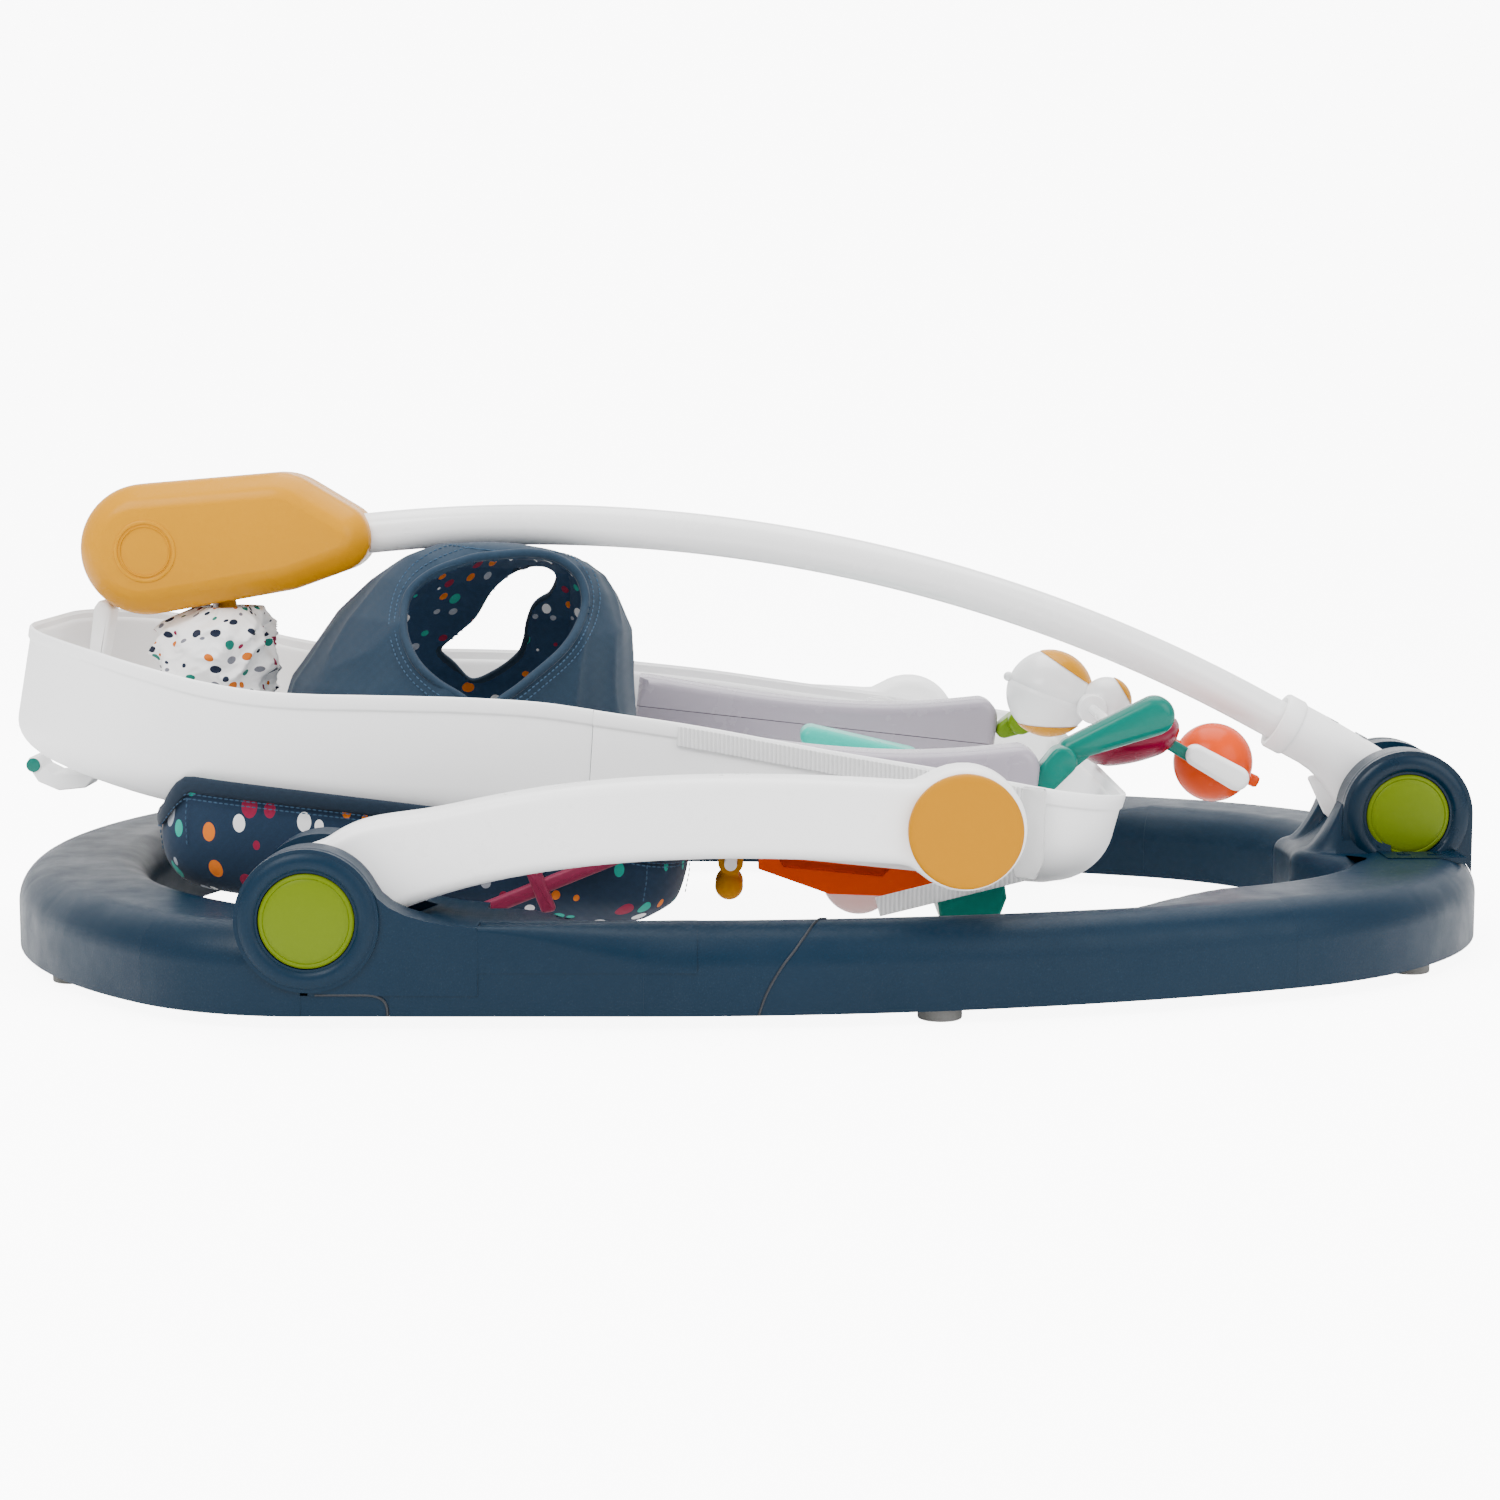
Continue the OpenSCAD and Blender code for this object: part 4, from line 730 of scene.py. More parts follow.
def screw_tree():
    """Pan-head screws with a cross recess, one at each point."""
    tree = new_tree("screws", [
        ("Head", "NodeSocketFloat", 0.0045), ("Rise", "NodeSocketFloat", 0.0025),
        ("Turn", "NodeSocketVector", None), ("Material", "NodeSocketMaterial", None)])
    add, link = tree.nodes.new, tree.links.new
    group = add("NodeGroupInput")
    head = add("GeometryNodeMeshCylinder")
    head.inputs["Vertices"].default_value = 28
    head.inputs["Side Segments"].default_value = 1
    link(group.outputs["Head"], head.inputs["Radius"])
    link(group.outputs["Rise"], head.inputs["Depth"])
    cuts = []
    for across in ((1.3, 0.26), (0.26, 1.3)):
        slot = add("GeometryNodeMeshCube")
        size = add("ShaderNodeCombineXYZ")
        for axis, share in zip("XY", across):
            times = add("ShaderNodeMath")
            times.operation = "MULTIPLY"
            times.inputs[1].default_value = share
            link(group.outputs["Head"], times.inputs[0])
            link(times.outputs[0], size.inputs[axis])
        link(group.outputs["Rise"], size.inputs["Z"])
        link(size.outputs["Vector"], slot.inputs["Size"])
        lift = add("GeometryNodeTransform")
        up = add("ShaderNodeCombineXYZ")
        half = add("ShaderNodeMath")
        half.operation = "MULTIPLY"
        half.inputs[1].default_value = 0.55
        link(group.outputs["Rise"], half.inputs[0])
        link(half.outputs[0], up.inputs["Z"])
        link(up.outputs["Vector"], lift.inputs["Translation"])
        link(slot.outputs["Mesh"], lift.inputs["Geometry"])
        cuts.append(lift.outputs["Geometry"])
    carve = add("GeometryNodeMeshBoolean")
    carve.operation = "DIFFERENCE"
    link(head.outputs["Mesh"], carve.inputs["Mesh 1"])
    for cut in cuts:
        link(cut, carve.inputs["Mesh 2"])
    lay = add("GeometryNodeInstanceOnPoints")
    link(group.outputs["Geometry"], lay.inputs["Points"])
    link(carve.outputs["Mesh"], lay.inputs["Instance"])
    link(group.outputs["Turn"], lay.inputs["Rotation"])
    ending(tree, group, lay.outputs["Instances"])
    return tree


def grown(name, guide, tree, values):
    """Plain mesh that a node tree grows on a guide of points and lines."""
    holder = bpy.data.objects.new(name + "_guide", guide)
    bpy.context.scene.collection.objects.link(holder)
    grow = holder.modifiers.new("grow", "NODES")
    grow.node_group = tree
    for item in tree.interface.items_tree:
        if item.item_type == "SOCKET" and item.in_out == "INPUT" and item.name in values:
            grow[item.identifier] = values[item.name]
    mesh = evaluated(holder)
    holder.modifiers.clear()
    bpy.data.objects.remove(holder)
    return mesh


def line_mesh(lines, loop=False):
    """Guide mesh of one or more lines, in metres."""
    points, edges = [], []
    for line in lines:
        base = len(points)
        points += [tuple(p) for p in np.asarray(line) * MM]
        edges += [(base + i, base + i + 1) for i in range(len(line) - 1)]
        if loop:
            edges.append((base + len(line) - 1, base))
    mesh = bpy.data.meshes.new("guide")
    mesh.from_pydata(points, edges, [])
    return mesh


STITCHES, PIPING, SCREWS = stitch_tree(), piping_tree(), screw_tree()


def stitched(name, lines, body, loop=False, pitch=3.4):
    """Rows of stitches in the navy thread."""
    mesh = grown(name, line_mesh(lines, loop), STITCHES,
                 {"Pitch": pitch * MM, "Length": 2.7 * MM, "Thread": 0.9 * MM, "Material": navy_thread})
    return show(name, mesh, navy_thread, body, ())


def piped(name, lines, body, finish, radius, loop=True):
    """Round piping along lines; it also lays the dark lines painted as the shade of grooves."""
    mesh = grown(name, line_mesh(lines, loop), PIPING, {"Radius": radius * MM, "Material": finish})
    return show(name, mesh, finish, body, ())


def islands(node):
    """Boxes of the separate solids in a CAD node, in millimetres."""
    bm = bmesh.new()
    bm.from_mesh(frame["nodes"][node].data)
    bmesh.ops.remove_doubles(bm, verts=bm.verts, dist=1e-6)
    left, boxes = set(bm.verts), []
    for start in bm.verts:
        if start not in left:
            continue
        left.discard(start)
        found, edge = [start], [start]
        while edge:
            v = edge.pop()
            for e in v.link_edges:
                w = e.other_vert(v)
                if w in left:
                    left.discard(w)
                    found.append(w)
                    edge.append(w)
        co = np.array([v.co for v in found]) / MM
        boxes.append((co.min(0), co.max(0)))
    bm.free()
    return boxes


# Base ring, bracket and the plain hardware keep their solids' shapes

# The ring's top falls inwards: from where, over what width, how deep, and the share of it along X
FALL_FROM, FALL_RUN, FALL_DEPTH, FALL_CLEAR = 22, 78, 16, 0.4
FALL_SHARE = np.array([(-150, 0), (-128, 0.3), (-100, 1), (230, 1), (270, 0.4), (300, 0)])
RING_SKIN = 3.4


def ring_outer(x):
    """Half the ring's width at a place along it."""
    return math.sqrt(RING_SIDE_R ** 2 - max(x - RING_SIDE_X, 0) ** 2) - RING_SIDE_R + RING_HALF_WIDTH


def ring_top_stations():
    """Places along a side of the ring, its half width there, and the share of its top's full fall."""
    places = np.linspace(-150, 300, 46)
    return [(x, ring_outer(x), np.interp(x, *FALL_SHARE.T)) for x in places]


def ring_top_fall(side):
    """Wedge over a side of the ring, so that its top falls inwards from the rounded outer edge."""
    top, end = RING_TOP + FALL_CLEAR, FALL_FROM + FALL_RUN
    return mesh_of("ring_top_fall", [loft([
        [(x, side * (outer - FALL_FROM), top), (x, side * (outer - end), RING_TOP + 30),
         (x, side * (outer - end), top - FALL_DEPTH * share)]
        for x, outer, share in ring_top_stations()])])


def ring_top_skin(side, s):
    """Closed top under that wedge, where it opens the hollow ring."""
    half = RING_WIDE / 2
    inset = np.linspace(FALL_FROM, 80, 30)
    past = np.maximum(np.abs(inset - half) - half + RING_EDGE, 0)
    whole = RING_TOP - RING_EDGE + np.sqrt(RING_EDGE ** 2 - past ** 2)
    sections = []
    for x, outer, share in ring_top_stations():
        across = inset / math.sqrt(1 - (max(x - RING_SIDE_X, 0) / RING_SIDE_R) ** 2)
        fallen = RING_TOP + 0.34 - FALL_DEPTH * share * (across - FALL_FROM) / FALL_RUN
        z = np.minimum(whole - 0.15, fallen)
        top = np.stack([0 * z + x, s * (outer - across), z], 1)
        sections.append(np.vstack([top, top[::-1] - (0, 0, RING_SKIN)]))
    make(f"ring_top_{side}", [loft(sections)], ring_navy, "base", ())


def base_ring():
    """The ring's four mouldings, the bracket, the feet and the steel pins, springs and screws."""
    for node in ("base_front", "base_side_near", "base_side_far", "base_rear"):
        dress(node, ring_navy, 1.6, segments=3, cutters=[ring_top_fall(s) for s in (-1, 1)])
    for side, s in SIDES:
        ring_top_skin(side, s)
    dress("rear_bracket", bracket_navy, 2.2, segments=3,
          cutters=[flange_cut(s) for s in (-1, 1)])
    dress("rubber_feet", foot_rubber, 1.2)
    for node, edge in (("rear_pin", 0.3), ("hub_pins", 0.3), ("tray_pins", 0.3), ("roller_axle", 0),
                       ("button_springs", 0), ("jump_spring", 0), ("housing_screws", 0)):
        dress(node, steel, edge)


def ring_groove_shade():
    """Near-black lines across the ring's sides as painted shade of its parting grooves, and the hubs' fairings
    run out along the ring.
    """
    slanted = smooth_line([(5, 8.6), (9.5, 21), (17.4, 35), (25.3, 45), (31, 52), (37, 58), (44, 60)], 8)
    notch = smooth_line([(-246, 20.5), (-226, 20.5), (-214, 20.2), (-208, 18), (-205.5, 14), (-205, 8.4)], 6)
    out, top, foot = RING_HALF_WIDTH + 0.35, RING_TOP + 0.2, 33
    for side, s in SIDES:
        lines = []
        for path in (slanted, notch):
            lines.append([])
            for x, z in path:
                climb = max(z - (RING_TOP - RING_EDGE), 0)
                inset = RING_EDGE - math.sqrt(max(RING_EDGE ** 2 - climb ** 2, 0))
                lines[-1].append((x, s * (ring_outer(x) - inset), min(z, RING_TOP)))
        # Painted shade: a thin near-black tube laid where the parting grooves fall into shadow
        piped(f"ring_seams_{side}", lines, "base", dark_plastic, 0.75, loop=False)
        sections = []
        for x in np.linspace(-168, -30, 30):
            r = 2.5 + 22.2 * ease((x + 160) / 125)
            arc = [(x, s * (out - r + r * math.cos(t)), top - r + r * math.sin(t))
                   for t in np.linspace(0, math.pi / 2, 12)]
            inside = (x, s * (out - 27.35), RING_TOP - 2)
            sections.append([(x, s * (out - 6.35), foot), (x, s * out, foot), *arc, inside])
        make(f"hub_fairing_{side}", [loft(sections)], ring_navy, "base", (), sharp=50)


def flange_cut(side):
    """Block over the bracket's flange, which leaves it thin and flush with the ring's top."""
    plan = [(370, 43.2), (495, 43.2), (495, 96), (370, 96)]
    return mesh_of("flange_cut", [loft([[(x, side * y, RING_TOP + z) for x, y in plan] for z in (0.8, 22)])])


def saddle():
    """Saddle that widens the ring inwards under the bracket and ramps up to its cheeks."""
    half, reach, deck, foot = 72, 36, RING_TOP - 1, 10
    cheek, slot, cheek_front = 44, 16, 393
    turns, slope = np.linspace(0, math.pi / 2, 9), np.linspace(0.15, 1, 8)
    sections = []
    for y in np.linspace(-half, half, 73):
        wide, rise = ease((half - abs(y)) / 45), ease((cheek - abs(y)) / 6)
        top = deck + rise * (16 + 16 * ease((abs(y) - slot) / 4))
        inner = REAR_C + math.sqrt((REAR_R - RING_WIDE) ** 2 - y * y) + 1 - reach * wide
        r = RING_EDGE - 1 - 14 * wide
        arc = [(inner + r - r * math.cos(t), deck - r + r * math.sin(t)) for t in turns]
        start = arc[-1][0]
        ramp = [(start + (cheek_front - start) * t, deck + (top - deck) * t ** 1.5) for t in slope]
        back = cheek_front + 9 + 23 * ease((abs(y) - slot + 3) / 4)
        line = [(back, foot), (inner, foot), (inner, 24), *arc, *ramp, (back, top)]
        sections.append([(x, y, z) for x, z in line])
    make("bracket_saddle", [loft(sections)], ring_navy, "base", (), sharp=60)


def button_rims():
    """Round-backed rims that the push buttons sit in, on the hubs and on the bracket."""
    bore, outside, hub_face, bracket_face = 28.3, 41.4, 326, 42
    section = [(bore, -6), (28.4, -1.5), (29.3, 0.6), (31.5, 2.0), (34.5, 2.3), (37.6, 1.2), (39.8, -1.0),
               (41.1, -4), (outside, -8), (40, -11), (34, -11)]
    for name, (x, y, z), reach, finish in (
            ("hub", (HUB[0], hub_face, HUB[2]), outside, ring_navy),
            ("bracket", (ARM_HINGE[0], bracket_face, ARM_HINGE[1]), 43.3, bracket_navy)):
        wider = [(bore + (r - bore) * (reach - bore) / (outside - bore), h) for r, h in section]
        rings = [[(r * math.cos(t), r * math.sin(t), h) for r, h in wider]
                 for t in np.linspace(0, 2 * math.pi, 128, endpoint=False)]
        for side, s in SIDES:
            shape = moved(aimed(loft(rings, loop=True), (0, s, 0)), (x, s * y, z))
            make(f"{name}_rim_{side}", [shape], finish, "base", ())


def buttons():
    """Domed push buttons with a thin moat round the crown."""
    for place in ("front", "rear"):
        for side, out in SIDES:
            node = f"{place}_button_{side}"
            low, high = (np.array(c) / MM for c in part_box(node))
            r, deep = (high[0] - low[0]) / 2, high[1] - low[1]
            foot = [(0, 0), (r - 4, 0), (r - 0.6, 0.3), (r, 1.0)]
            crown = [(r, 4.0), (r - 0.4, 3.0), (r - 1.4, 2.3), (r - 2.6, 2.0), (r - 3.1, 2.5), (r - 3.7, 2.0),
                     (r - 6, 1.5), (r * 0.6, 0.6), (r * 0.3, 0.12), (0, 0)]
            middle = ((low[0] + high[0]) / 2, low[1] if out > 0 else high[1], (low[2] + high[2]) / 2)
            shape = moved(aimed(lathe(foot + [(a, deep - d) for a, d in crown], 96), (0, out, 0)), middle)
            make(node + "_domed", [shape], button_lime, node, [node])


base_ring()
ring_groove_shade()
saddle()
button_rims()
buttons()


# Legs and their caps

def leg_outline(half=23.5, eye=30.0, end=36.0, flare=9.0):
    """Side view of a bowed leg in its own frame."""
    t = np.linspace(0, 1, 90)
    mid = np.stack([2 * t * (1 - t) * 0.288 * LEG_LENGTH + t * t * LEG_LENGTH, 2 * t * (1 - t) * LEG_BOW], 1)
    d = np.gradient(mid, axis=0)
    d /= np.linalg.norm(d, axis=1)[:, None]
    phi = np.linspace(0, math.pi / 2, 16)[1:]
    tip0 = mid[0] - d[0] * (eye * np.sin(phi))[::-1, None]
    tip1 = mid[-1] + d[-1] * (end * np.sin(phi))[:, None]

    def chord(r, centre, line):
        return np.sqrt(np.maximum(r * r - ((line - centre) ** 2).sum(1), 0))

    wide = (half ** 8 + chord(eye, mid[0], mid) ** 8 + chord(end, mid[-1], mid) ** 8) ** 0.125
    line = np.vstack([tip0, mid, tip1])
    facing = np.vstack([np.repeat(d[:1], len(phi), 0), d, np.repeat(d[-1:], len(phi), 0)])
    width = np.r_[wide[0] * np.cos(phi)[::-1], wide, wide[-1] * np.cos(phi)]
    n = np.stack([-facing[:, 1], facing[:, 0]], 1)
    upper = width + flare * np.exp(-((line[:, 0] - 34) / 32) ** 2) * (width > half - 1)
    return np.vstack([line + n * upper[:, None], (line - n * width[:, None])[-2:0:-1]])


def legs():
    """Two bowed legs with a round cap over each tray pivot."""
    outer, inner = 300.0, 266.0
    profile = [(0, -3.5), (26, -3.5), (27.5, -3), (27.5, 0.1), (32.4, 0.3), (33, 1.2), (33, 5.6), (32.5, 7.2),
               (31.2, 8.3), (29, 8.9), (20, 9.1), (8, 9.2), (0, 9.2)]
    for side, out in SIDES:
        shape = placed(slab(leg_outline(), *sorted((out * inner, out * outer)), 8.5, 7), in_leg)
        make(f"leg_{side}_moulding", [shape], leg_white, "legs", [f"leg_{side}"])
        cap = moved(aimed(lathe(profile, 96), (0, out, 0)), in_leg(np.array([LEG_LENGTH, out * outer, 0])))
        make(f"pivot_cap_{side}_moulding", [cap], cap_yellow, "legs", [f"pivot_cap_{side}"])


legs()


# Arm: tube, socket, spring housing, and the sleeve of cloth under it

def arm_tube():
    """Curved tube, and the strap, roller and pin inside its end."""
    k = math.radians(TUBE_SLOPE)
    foot = (ARM_HINGE[0] + TUBE_LIFT * math.sin(k), ARM_HINGE[1] + TUBE_LIFT * math.cos(k))
    straight = [(foot[0] - u * math.cos(k), foot[1] + u * math.sin(k)) for u in (40, 70, 100)]
    line = np.array(straight + [tube_point(a) for a in np.linspace(0, TUBE_BOW, 60)])
    path = np.stack([line[:, 0], 0 * line[:, 0], line[:, 1]], 1)
    tube = sweep(path, oval(TUBE_R, TUBE_R, 48))
    make("arm_tube_drawn", [tube], tube_white, "arm", ["arm_tube"])
    dress("spring_anchor", tube_white, 0.3)
    dress("strap_roller", dark_plastic, 0.4)
    dress("suspension_strap", white_webbing, 0)


def arm_socket():
    """White socket: an eye in the bracket that draws up into a round sleeve with a collar at its mouth."""
    k = math.radians(TUBE_SLOPE)
    out, up = np.array([-math.cos(k), 0, math.sin(k)]), np.array([math.sin(k), 0, math.cos(k)])
    hinge = np.array([ARM_HINGE[0], 0, ARM_HINGE[1]])
    t = np.linspace(0, 2 * math.pi, 72, endpoint=False)
    stations = [(2, 0.5, 27.5, 15.3, 4.0), (14, 1.5, 27.5, 15.3, 3.6), (24, 3.4, 26.8, 15.4, 3.2),
                (34, 6.2, 24.8, 15.8, 2.8), (44, 9.2, 22.2, 16.4, 2.5), (54, 11.8, 20, 17.2, 2.25),
                (63, 13.4, 18.7, 18, 2.08)]
    stations += [(s, TUBE_LIFT, r, r, 2) for s, r in (
        (72, 18.3), (86, 18.3), (86.6, 19.2), (88, 19.8), (98.4, 19.8), (99.8, 19.1), (100, 16.5), (97, 14.4))]
    rings = []
    for s, lift, tall, wide, power in stations:
        c, q = np.cos(t), np.sin(t)
        y = wide * np.sign(c) * np.abs(c) ** (2 / power)
        z = lift + tall * np.sign(q) * np.abs(q) ** (2 / power)
        rings.append(hinge + out * s + y[:, None] * np.array([0, 1, 0]) + z[:, None] * up)
    fin = slab(rounded([(20, -22), (58, -6), (62, -10), (40, -26), (24, -30)], 4), -2.2, 2.2, 1.2)
    fin = hinge + fin[0][:, :1] * out + fin[0][:, 1:2] * np.array([0, 1, 0]) + fin[0][:, 2:] * up, fin[1]
    eye = bar(ARM_HINGE, 30, -15.5, 15.5, 2)
    make("arm_socket_moulding", [loft(rings), eye, fin], leg_white, "arm", ["arm_socket"])


SLEEVE_TOP, SLEEVE_TALL, SLEEVE_WIDE, SLEEVE_X = 219.0, 65.0, 35.5, -357.5


def housing():
    """Spring housing in two halves, with a moat along the parting line and a raised ring on each face."""
    nose = tube_point(TUBE_BOW - math.degrees(26 / TUBE_BOW_R))
    line, facing = around([(-401, 258, 43.5), (-313, 269.5, 39.5), (*nose, 23)], 3.0)
    profile = [(0.2, 1.0), (0.3, 0.45), (0.7, 0.05), (1.5, 0), (12, 0), (17, 0.15), (19.8, 0.6), (22.2, 1.5),
               (24.6, 2.9), (27.2, 4.8), (29.8, 7.0), (32.2, 9.4), (33.8, 11.4), (34.8, 13.4), (35.5, 15.2),
               (35.9, 16.6), (36, 17.6)]
    knob = [(0, -8), (3.5, -7.6), (6, -5.5), (7, -2.5), (6.4, 1), (5.6, 5), (0, 5.5)]
    ring_x, ring_y, ring_z = -398, profile[-1][0], 257.5
    t = np.linspace(0, 2 * math.pi, 96, endpoint=False)
    for side, out in SIDES:
        rings = []
        for y, i in profile:
            x, z = (line - facing * i).T
            rings.append(np.stack([x, 0 * x + out * y, z], 1))
        shapes = [loft(rings)]
        for r, w in ((19.2, 1.3), (16.4, 0.6)):
            band = np.stack([ring_x + r * np.cos(t), 0 * t + out * ring_y, ring_z + r * np.sin(t)], 1)
            shapes.append(sweep(band, oval(w, 0.9, 10), loop=True))
        if side == "near":
            shapes.append(moved(lathe(knob, 32), (-351, 0, SLEEVE_TOP)))
        make(f"housing_{side}_moulding", shapes, housing_yellow, "arm", [f"housing_{side}"])


def sleeve():
    """Crumpled sleeve of printed cloth, gathered round the strap under the housing."""
    n, m = 150, 84
    rings, run = [], [0.0]
    for i in range(m + 1):
        t = i / m
        body = 0.5 + 0.5 * math.sin(math.pi * min(1, 0.1 + 0.8 * t)) ** 0.6
        gather = max(0.0, (t - 0.8) / 0.2)
        body *= 1 - 0.34 * gather ** 1.6
        ring = []
        for j in range(n):
            a = 2 * math.pi * j / n
            p = Vector((math.cos(a) * 1.3, math.sin(a) * 1.3, 2.2 * t))
            swell = noise.noise(p * 1.1 + Vector((4.2, 1.7, 0.3)))
            crease = 1 - abs(noise.noise(p * 1.5 + Vector((3.1, 0.4, 7.7))))
            fine = 1 - abs(noise.noise(p * 4.6 + Vector((0.2, 9.4, 1.3))))
            r = SLEEVE_WIDE * body * (1 + 0.16 * swell + 0.05 * math.sin(3 * a + 6 * t))
            r += (crease ** 3 - 0.5) * 8.0 * (1 - 0.6 * gather) + (fine ** 3 - 0.45) * 1.3
            lift = 4.0 * noise.noise(p * 1.6 + Vector((8.8, 2.0, 4.0))) * math.sin(math.pi * t)
            ring.append((SLEEVE_X + 1.12 * r * math.cos(a) + 7 * gather, r * math.sin(a),
                         SLEEVE_TOP - SLEEVE_TALL + SLEEVE_TALL * t + lift))
        rings.append(ring)
        if i:
            run.append(run[-1] + np.linalg.norm(np.array(ring) - np.array(rings[-2]), axis=1).mean())
    around_it = np.linspace(0, 2 * math.pi * SLEEVE_WIDE * 1.06, n + 1)
    sheet = (np.array(rings).reshape(-1, 3), grid_faces(m + 1, n), 0, grid_layout(around_it, run))
    mesh = mesh_of("sleeve", [sheet])
    mesh = worked(mesh, ("SOLIDIFY", dict(thickness=0.7 * MM, offset=0, use_even_offset=False)))
    piece = show("sleeve_cloth", mesh, sleeve_cloth, "arm", ["spring_sleeve"], sharp=180)


arm_tube()
arm_socket()
housing()
sleeve()


# Tray: two thin shells with a stepped rim

RIM = smooth_line([(-640, 36), (-578, 35.5), (-536, 33), (-498, 28), (-468, 23.6), (-434, 21.4), (-400, 22.6),
                   (-352, 27), (-299, 31.6), (-256, 33.7), (-217, 32.6), (-157, 31.4), (-78, 27.4), (-7, 25),
                   (60, 21.5), (130, 19)])
SEAM = -220.0
TRAY_END_RISE, TRAY_END_LEAN, TRAY_NOSE_DRAFT = 20.0, 9.0, 11.0
TRAY_ROUND, TRAY_WALL, RIM_TALL, SEAT_HOLE_R = 30.0, 3.0, 12.0, 142.0
REAR_PLAN = [(x, s * y, r) for s in (-1, 1) for x, y, r in ((-473, 44, 130), (-418, 74, 100), (-150, 122, 60))]
FRONT_PLAN = [(x, s * y, 45) for s in (-1, 1) for x, y in ((-260, 127), (60, 193))]


def rim_height(u):
    """Height of the rim over the deck at a distance along it."""
    f = math.radians(DECK_FALL)
    z = 70.0
    for _ in range(3):
        w = np.interp(u * math.cos(f) - z * math.sin(f), RIM[:, 0], RIM[:, 1])
        z = (w + DECK_DROP - u * math.sin(f)) / math.cos(f)
    return z


def cut_at(points, facing, seam, rear):
    """The run of a closed outline on one side of the seam, ends on it."""
    keep = points[:, 0] < seam if rear else points[:, 0] > seam
    start = next(i for i in range(len(keep)) if keep[i] and not keep[i - 1])
    points, facing, keep = np.roll(points, -start, 0), np.roll(facing, -start, 0), np.roll(keep, -start)
    n = int(keep.sum())
    ends = []
    for inner, outer in ((0, -1), (n - 1, n)):
        a, b = points[inner], points[outer % len(points)]
        ends.append((a + (b - a) * (seam - a[0]) / (b[0] - a[0]), facing[inner]))
    return (np.vstack([ends[0][0], points[:n], ends[1][0]]), np.vstack([ends[0][1], facing[:n], ends[1][1]]))


def tray_shell(plan, rear):
    """Thin shell: floor round the seat opening, rounded rise, wall, and a rim with a step."""
    seam = SEAM if rear else SEAM + 0.5
    line, facing = cut_at(*around(plan, 5.0), seam, rear)
    rim = rim_height(line[:, 0])
    turns = np.linspace(0, math.pi / 2, 11)
    levels = [(TRAY_ROUND * (1 - math.sin(t)), TRAY_ROUND * (1 - math.cos(t))) for t in turns]
    levels += [(0, TRAY_ROUND + (rim - TRAY_ROUND - RIM_TALL) * k) for k in (0.35, 0.7, 1.0)]
    levels += [(i, rim - d) for i, d in (
        (0, 10.4), (-0.25, 9.8), (-1.1, 9.2), (-1.4, 8.4), (-1.5, 4), (-1.4, 1.2), (-0.9, 0.35), (0, 0))]
    end, nose = ease((-line[:, 0] - 500) / 110), ease((line[:, 0] - 30) / 60)
    rings = []
    for i, z in levels:
        z = 0 * rim + z
        i = i + TRAY_END_LEAN * end * z / rim + TRAY_NOSE_DRAFT * nose * np.clip(1 - z / rim, 0, 1)
        rings.append(np.stack([line[:, 0] - facing[:, 0] * i, line[:, 1] - facing[:, 1] * i, z], 1))
    for ring in rings:
        share = np.clip(1 - ring[:, 2] / rim, 0, 1)
        ring[:, 2] += TRAY_END_RISE * ease((-ring[:, 0] - 430) / 170) * share
    rows, cols = len(rings), len(line)
    wall = np.array(rings).reshape(-1, 3), grid_faces(rows, cols, round_cols=False)
    reach = math.sqrt(SEAT_HOLE_R ** 2 - (seam + SEAT_BACK) ** 2)
    a0 = math.atan2(reach, seam + SEAT_BACK)
    arc = np.linspace(-a0, -2 * math.pi + a0, 80) if rear else np.linspace(a0, -a0, 60)
    hole = np.stack([-SEAT_BACK + SEAT_HOLE_R * np.cos(arc), SEAT_HOLE_R * np.sin(arc), 0 * arc], 1)
    floor = np.vstack([rings[0], hole])
    triangles = tessellate_polygon([[Vector(p) for p in floor]])
    mesh = mesh_of("shell", [wall, (floor, [tuple(t) for t in triangles])])
    side = mesh.polygons[cols * (rows // 2)]
    if side.normal.y * side.center.y < 0:
        mesh.flip_normals()
    mesh = worked(mesh, ("SOLIDIFY", dict(thickness=TRAY_WALL * MM, offset=-1, use_even_offset=True)))
    points, faces = shape_of(mesh)
    return on_deck(points), faces


def tray():
    """Rear shell with an upright tab, front shell with the pivots' bosses, seat ring and rear latch."""
    tab = rounded([(-571, -64), (-557, -63), (-560, 10), (-557, 46),
                   (-561, 51), (-567, 51), (-570, 46), (-571, 10)], 3.2)
    tab = placed(slab(tab, -11, 11, 3.2), in_tray)
    make("tray_rear_moulding", [tray_shell(REAR_PLAN, True), tab], tray_white, "tray",
         ["tray_rear_shell"])
    bosses = [placed(bar((0, 0), 18, *sorted((s * 214, s * 265.5))), in_tray) for s in (-1, 1)]
    make("tray_front_moulding", [tray_shell(FRONT_PLAN, False), *bosses], tray_white, "tray",
         ["tray_front_shell"])
    dress("seat_ring", dark_plastic, 0.8)
    hook = rounded([(46, 0), (30, 0), (16, -1.5), (8, 2), (3.5, 8),
                    (-1, 8.5), (-2, 3), (6, -8), (20, -13), (38, -10)], 2.5)
    latch = moved(slab(hook, -16, 16, 1.4, 4), (-603, 0, 0))
    make("rear_latch_hook", [placed(latch, on_deck)], tray_white, "tray", ["rear_latch"])
    dot = lathe([(0, -1), (4.4, -1), (4.8, 0.2), (4.6, 0.8), (0, 1.1)], 32)
    dot = moved(aimed(dot, (0, -1, 0)), (-600.5, -16.3, 3.2))
    make("latch_dot", [placed(dot, on_deck)], toy_teal, "tray", ())


tray()


# Fabric seat: leaning pouch with bound leg openings, and the padded collar round it

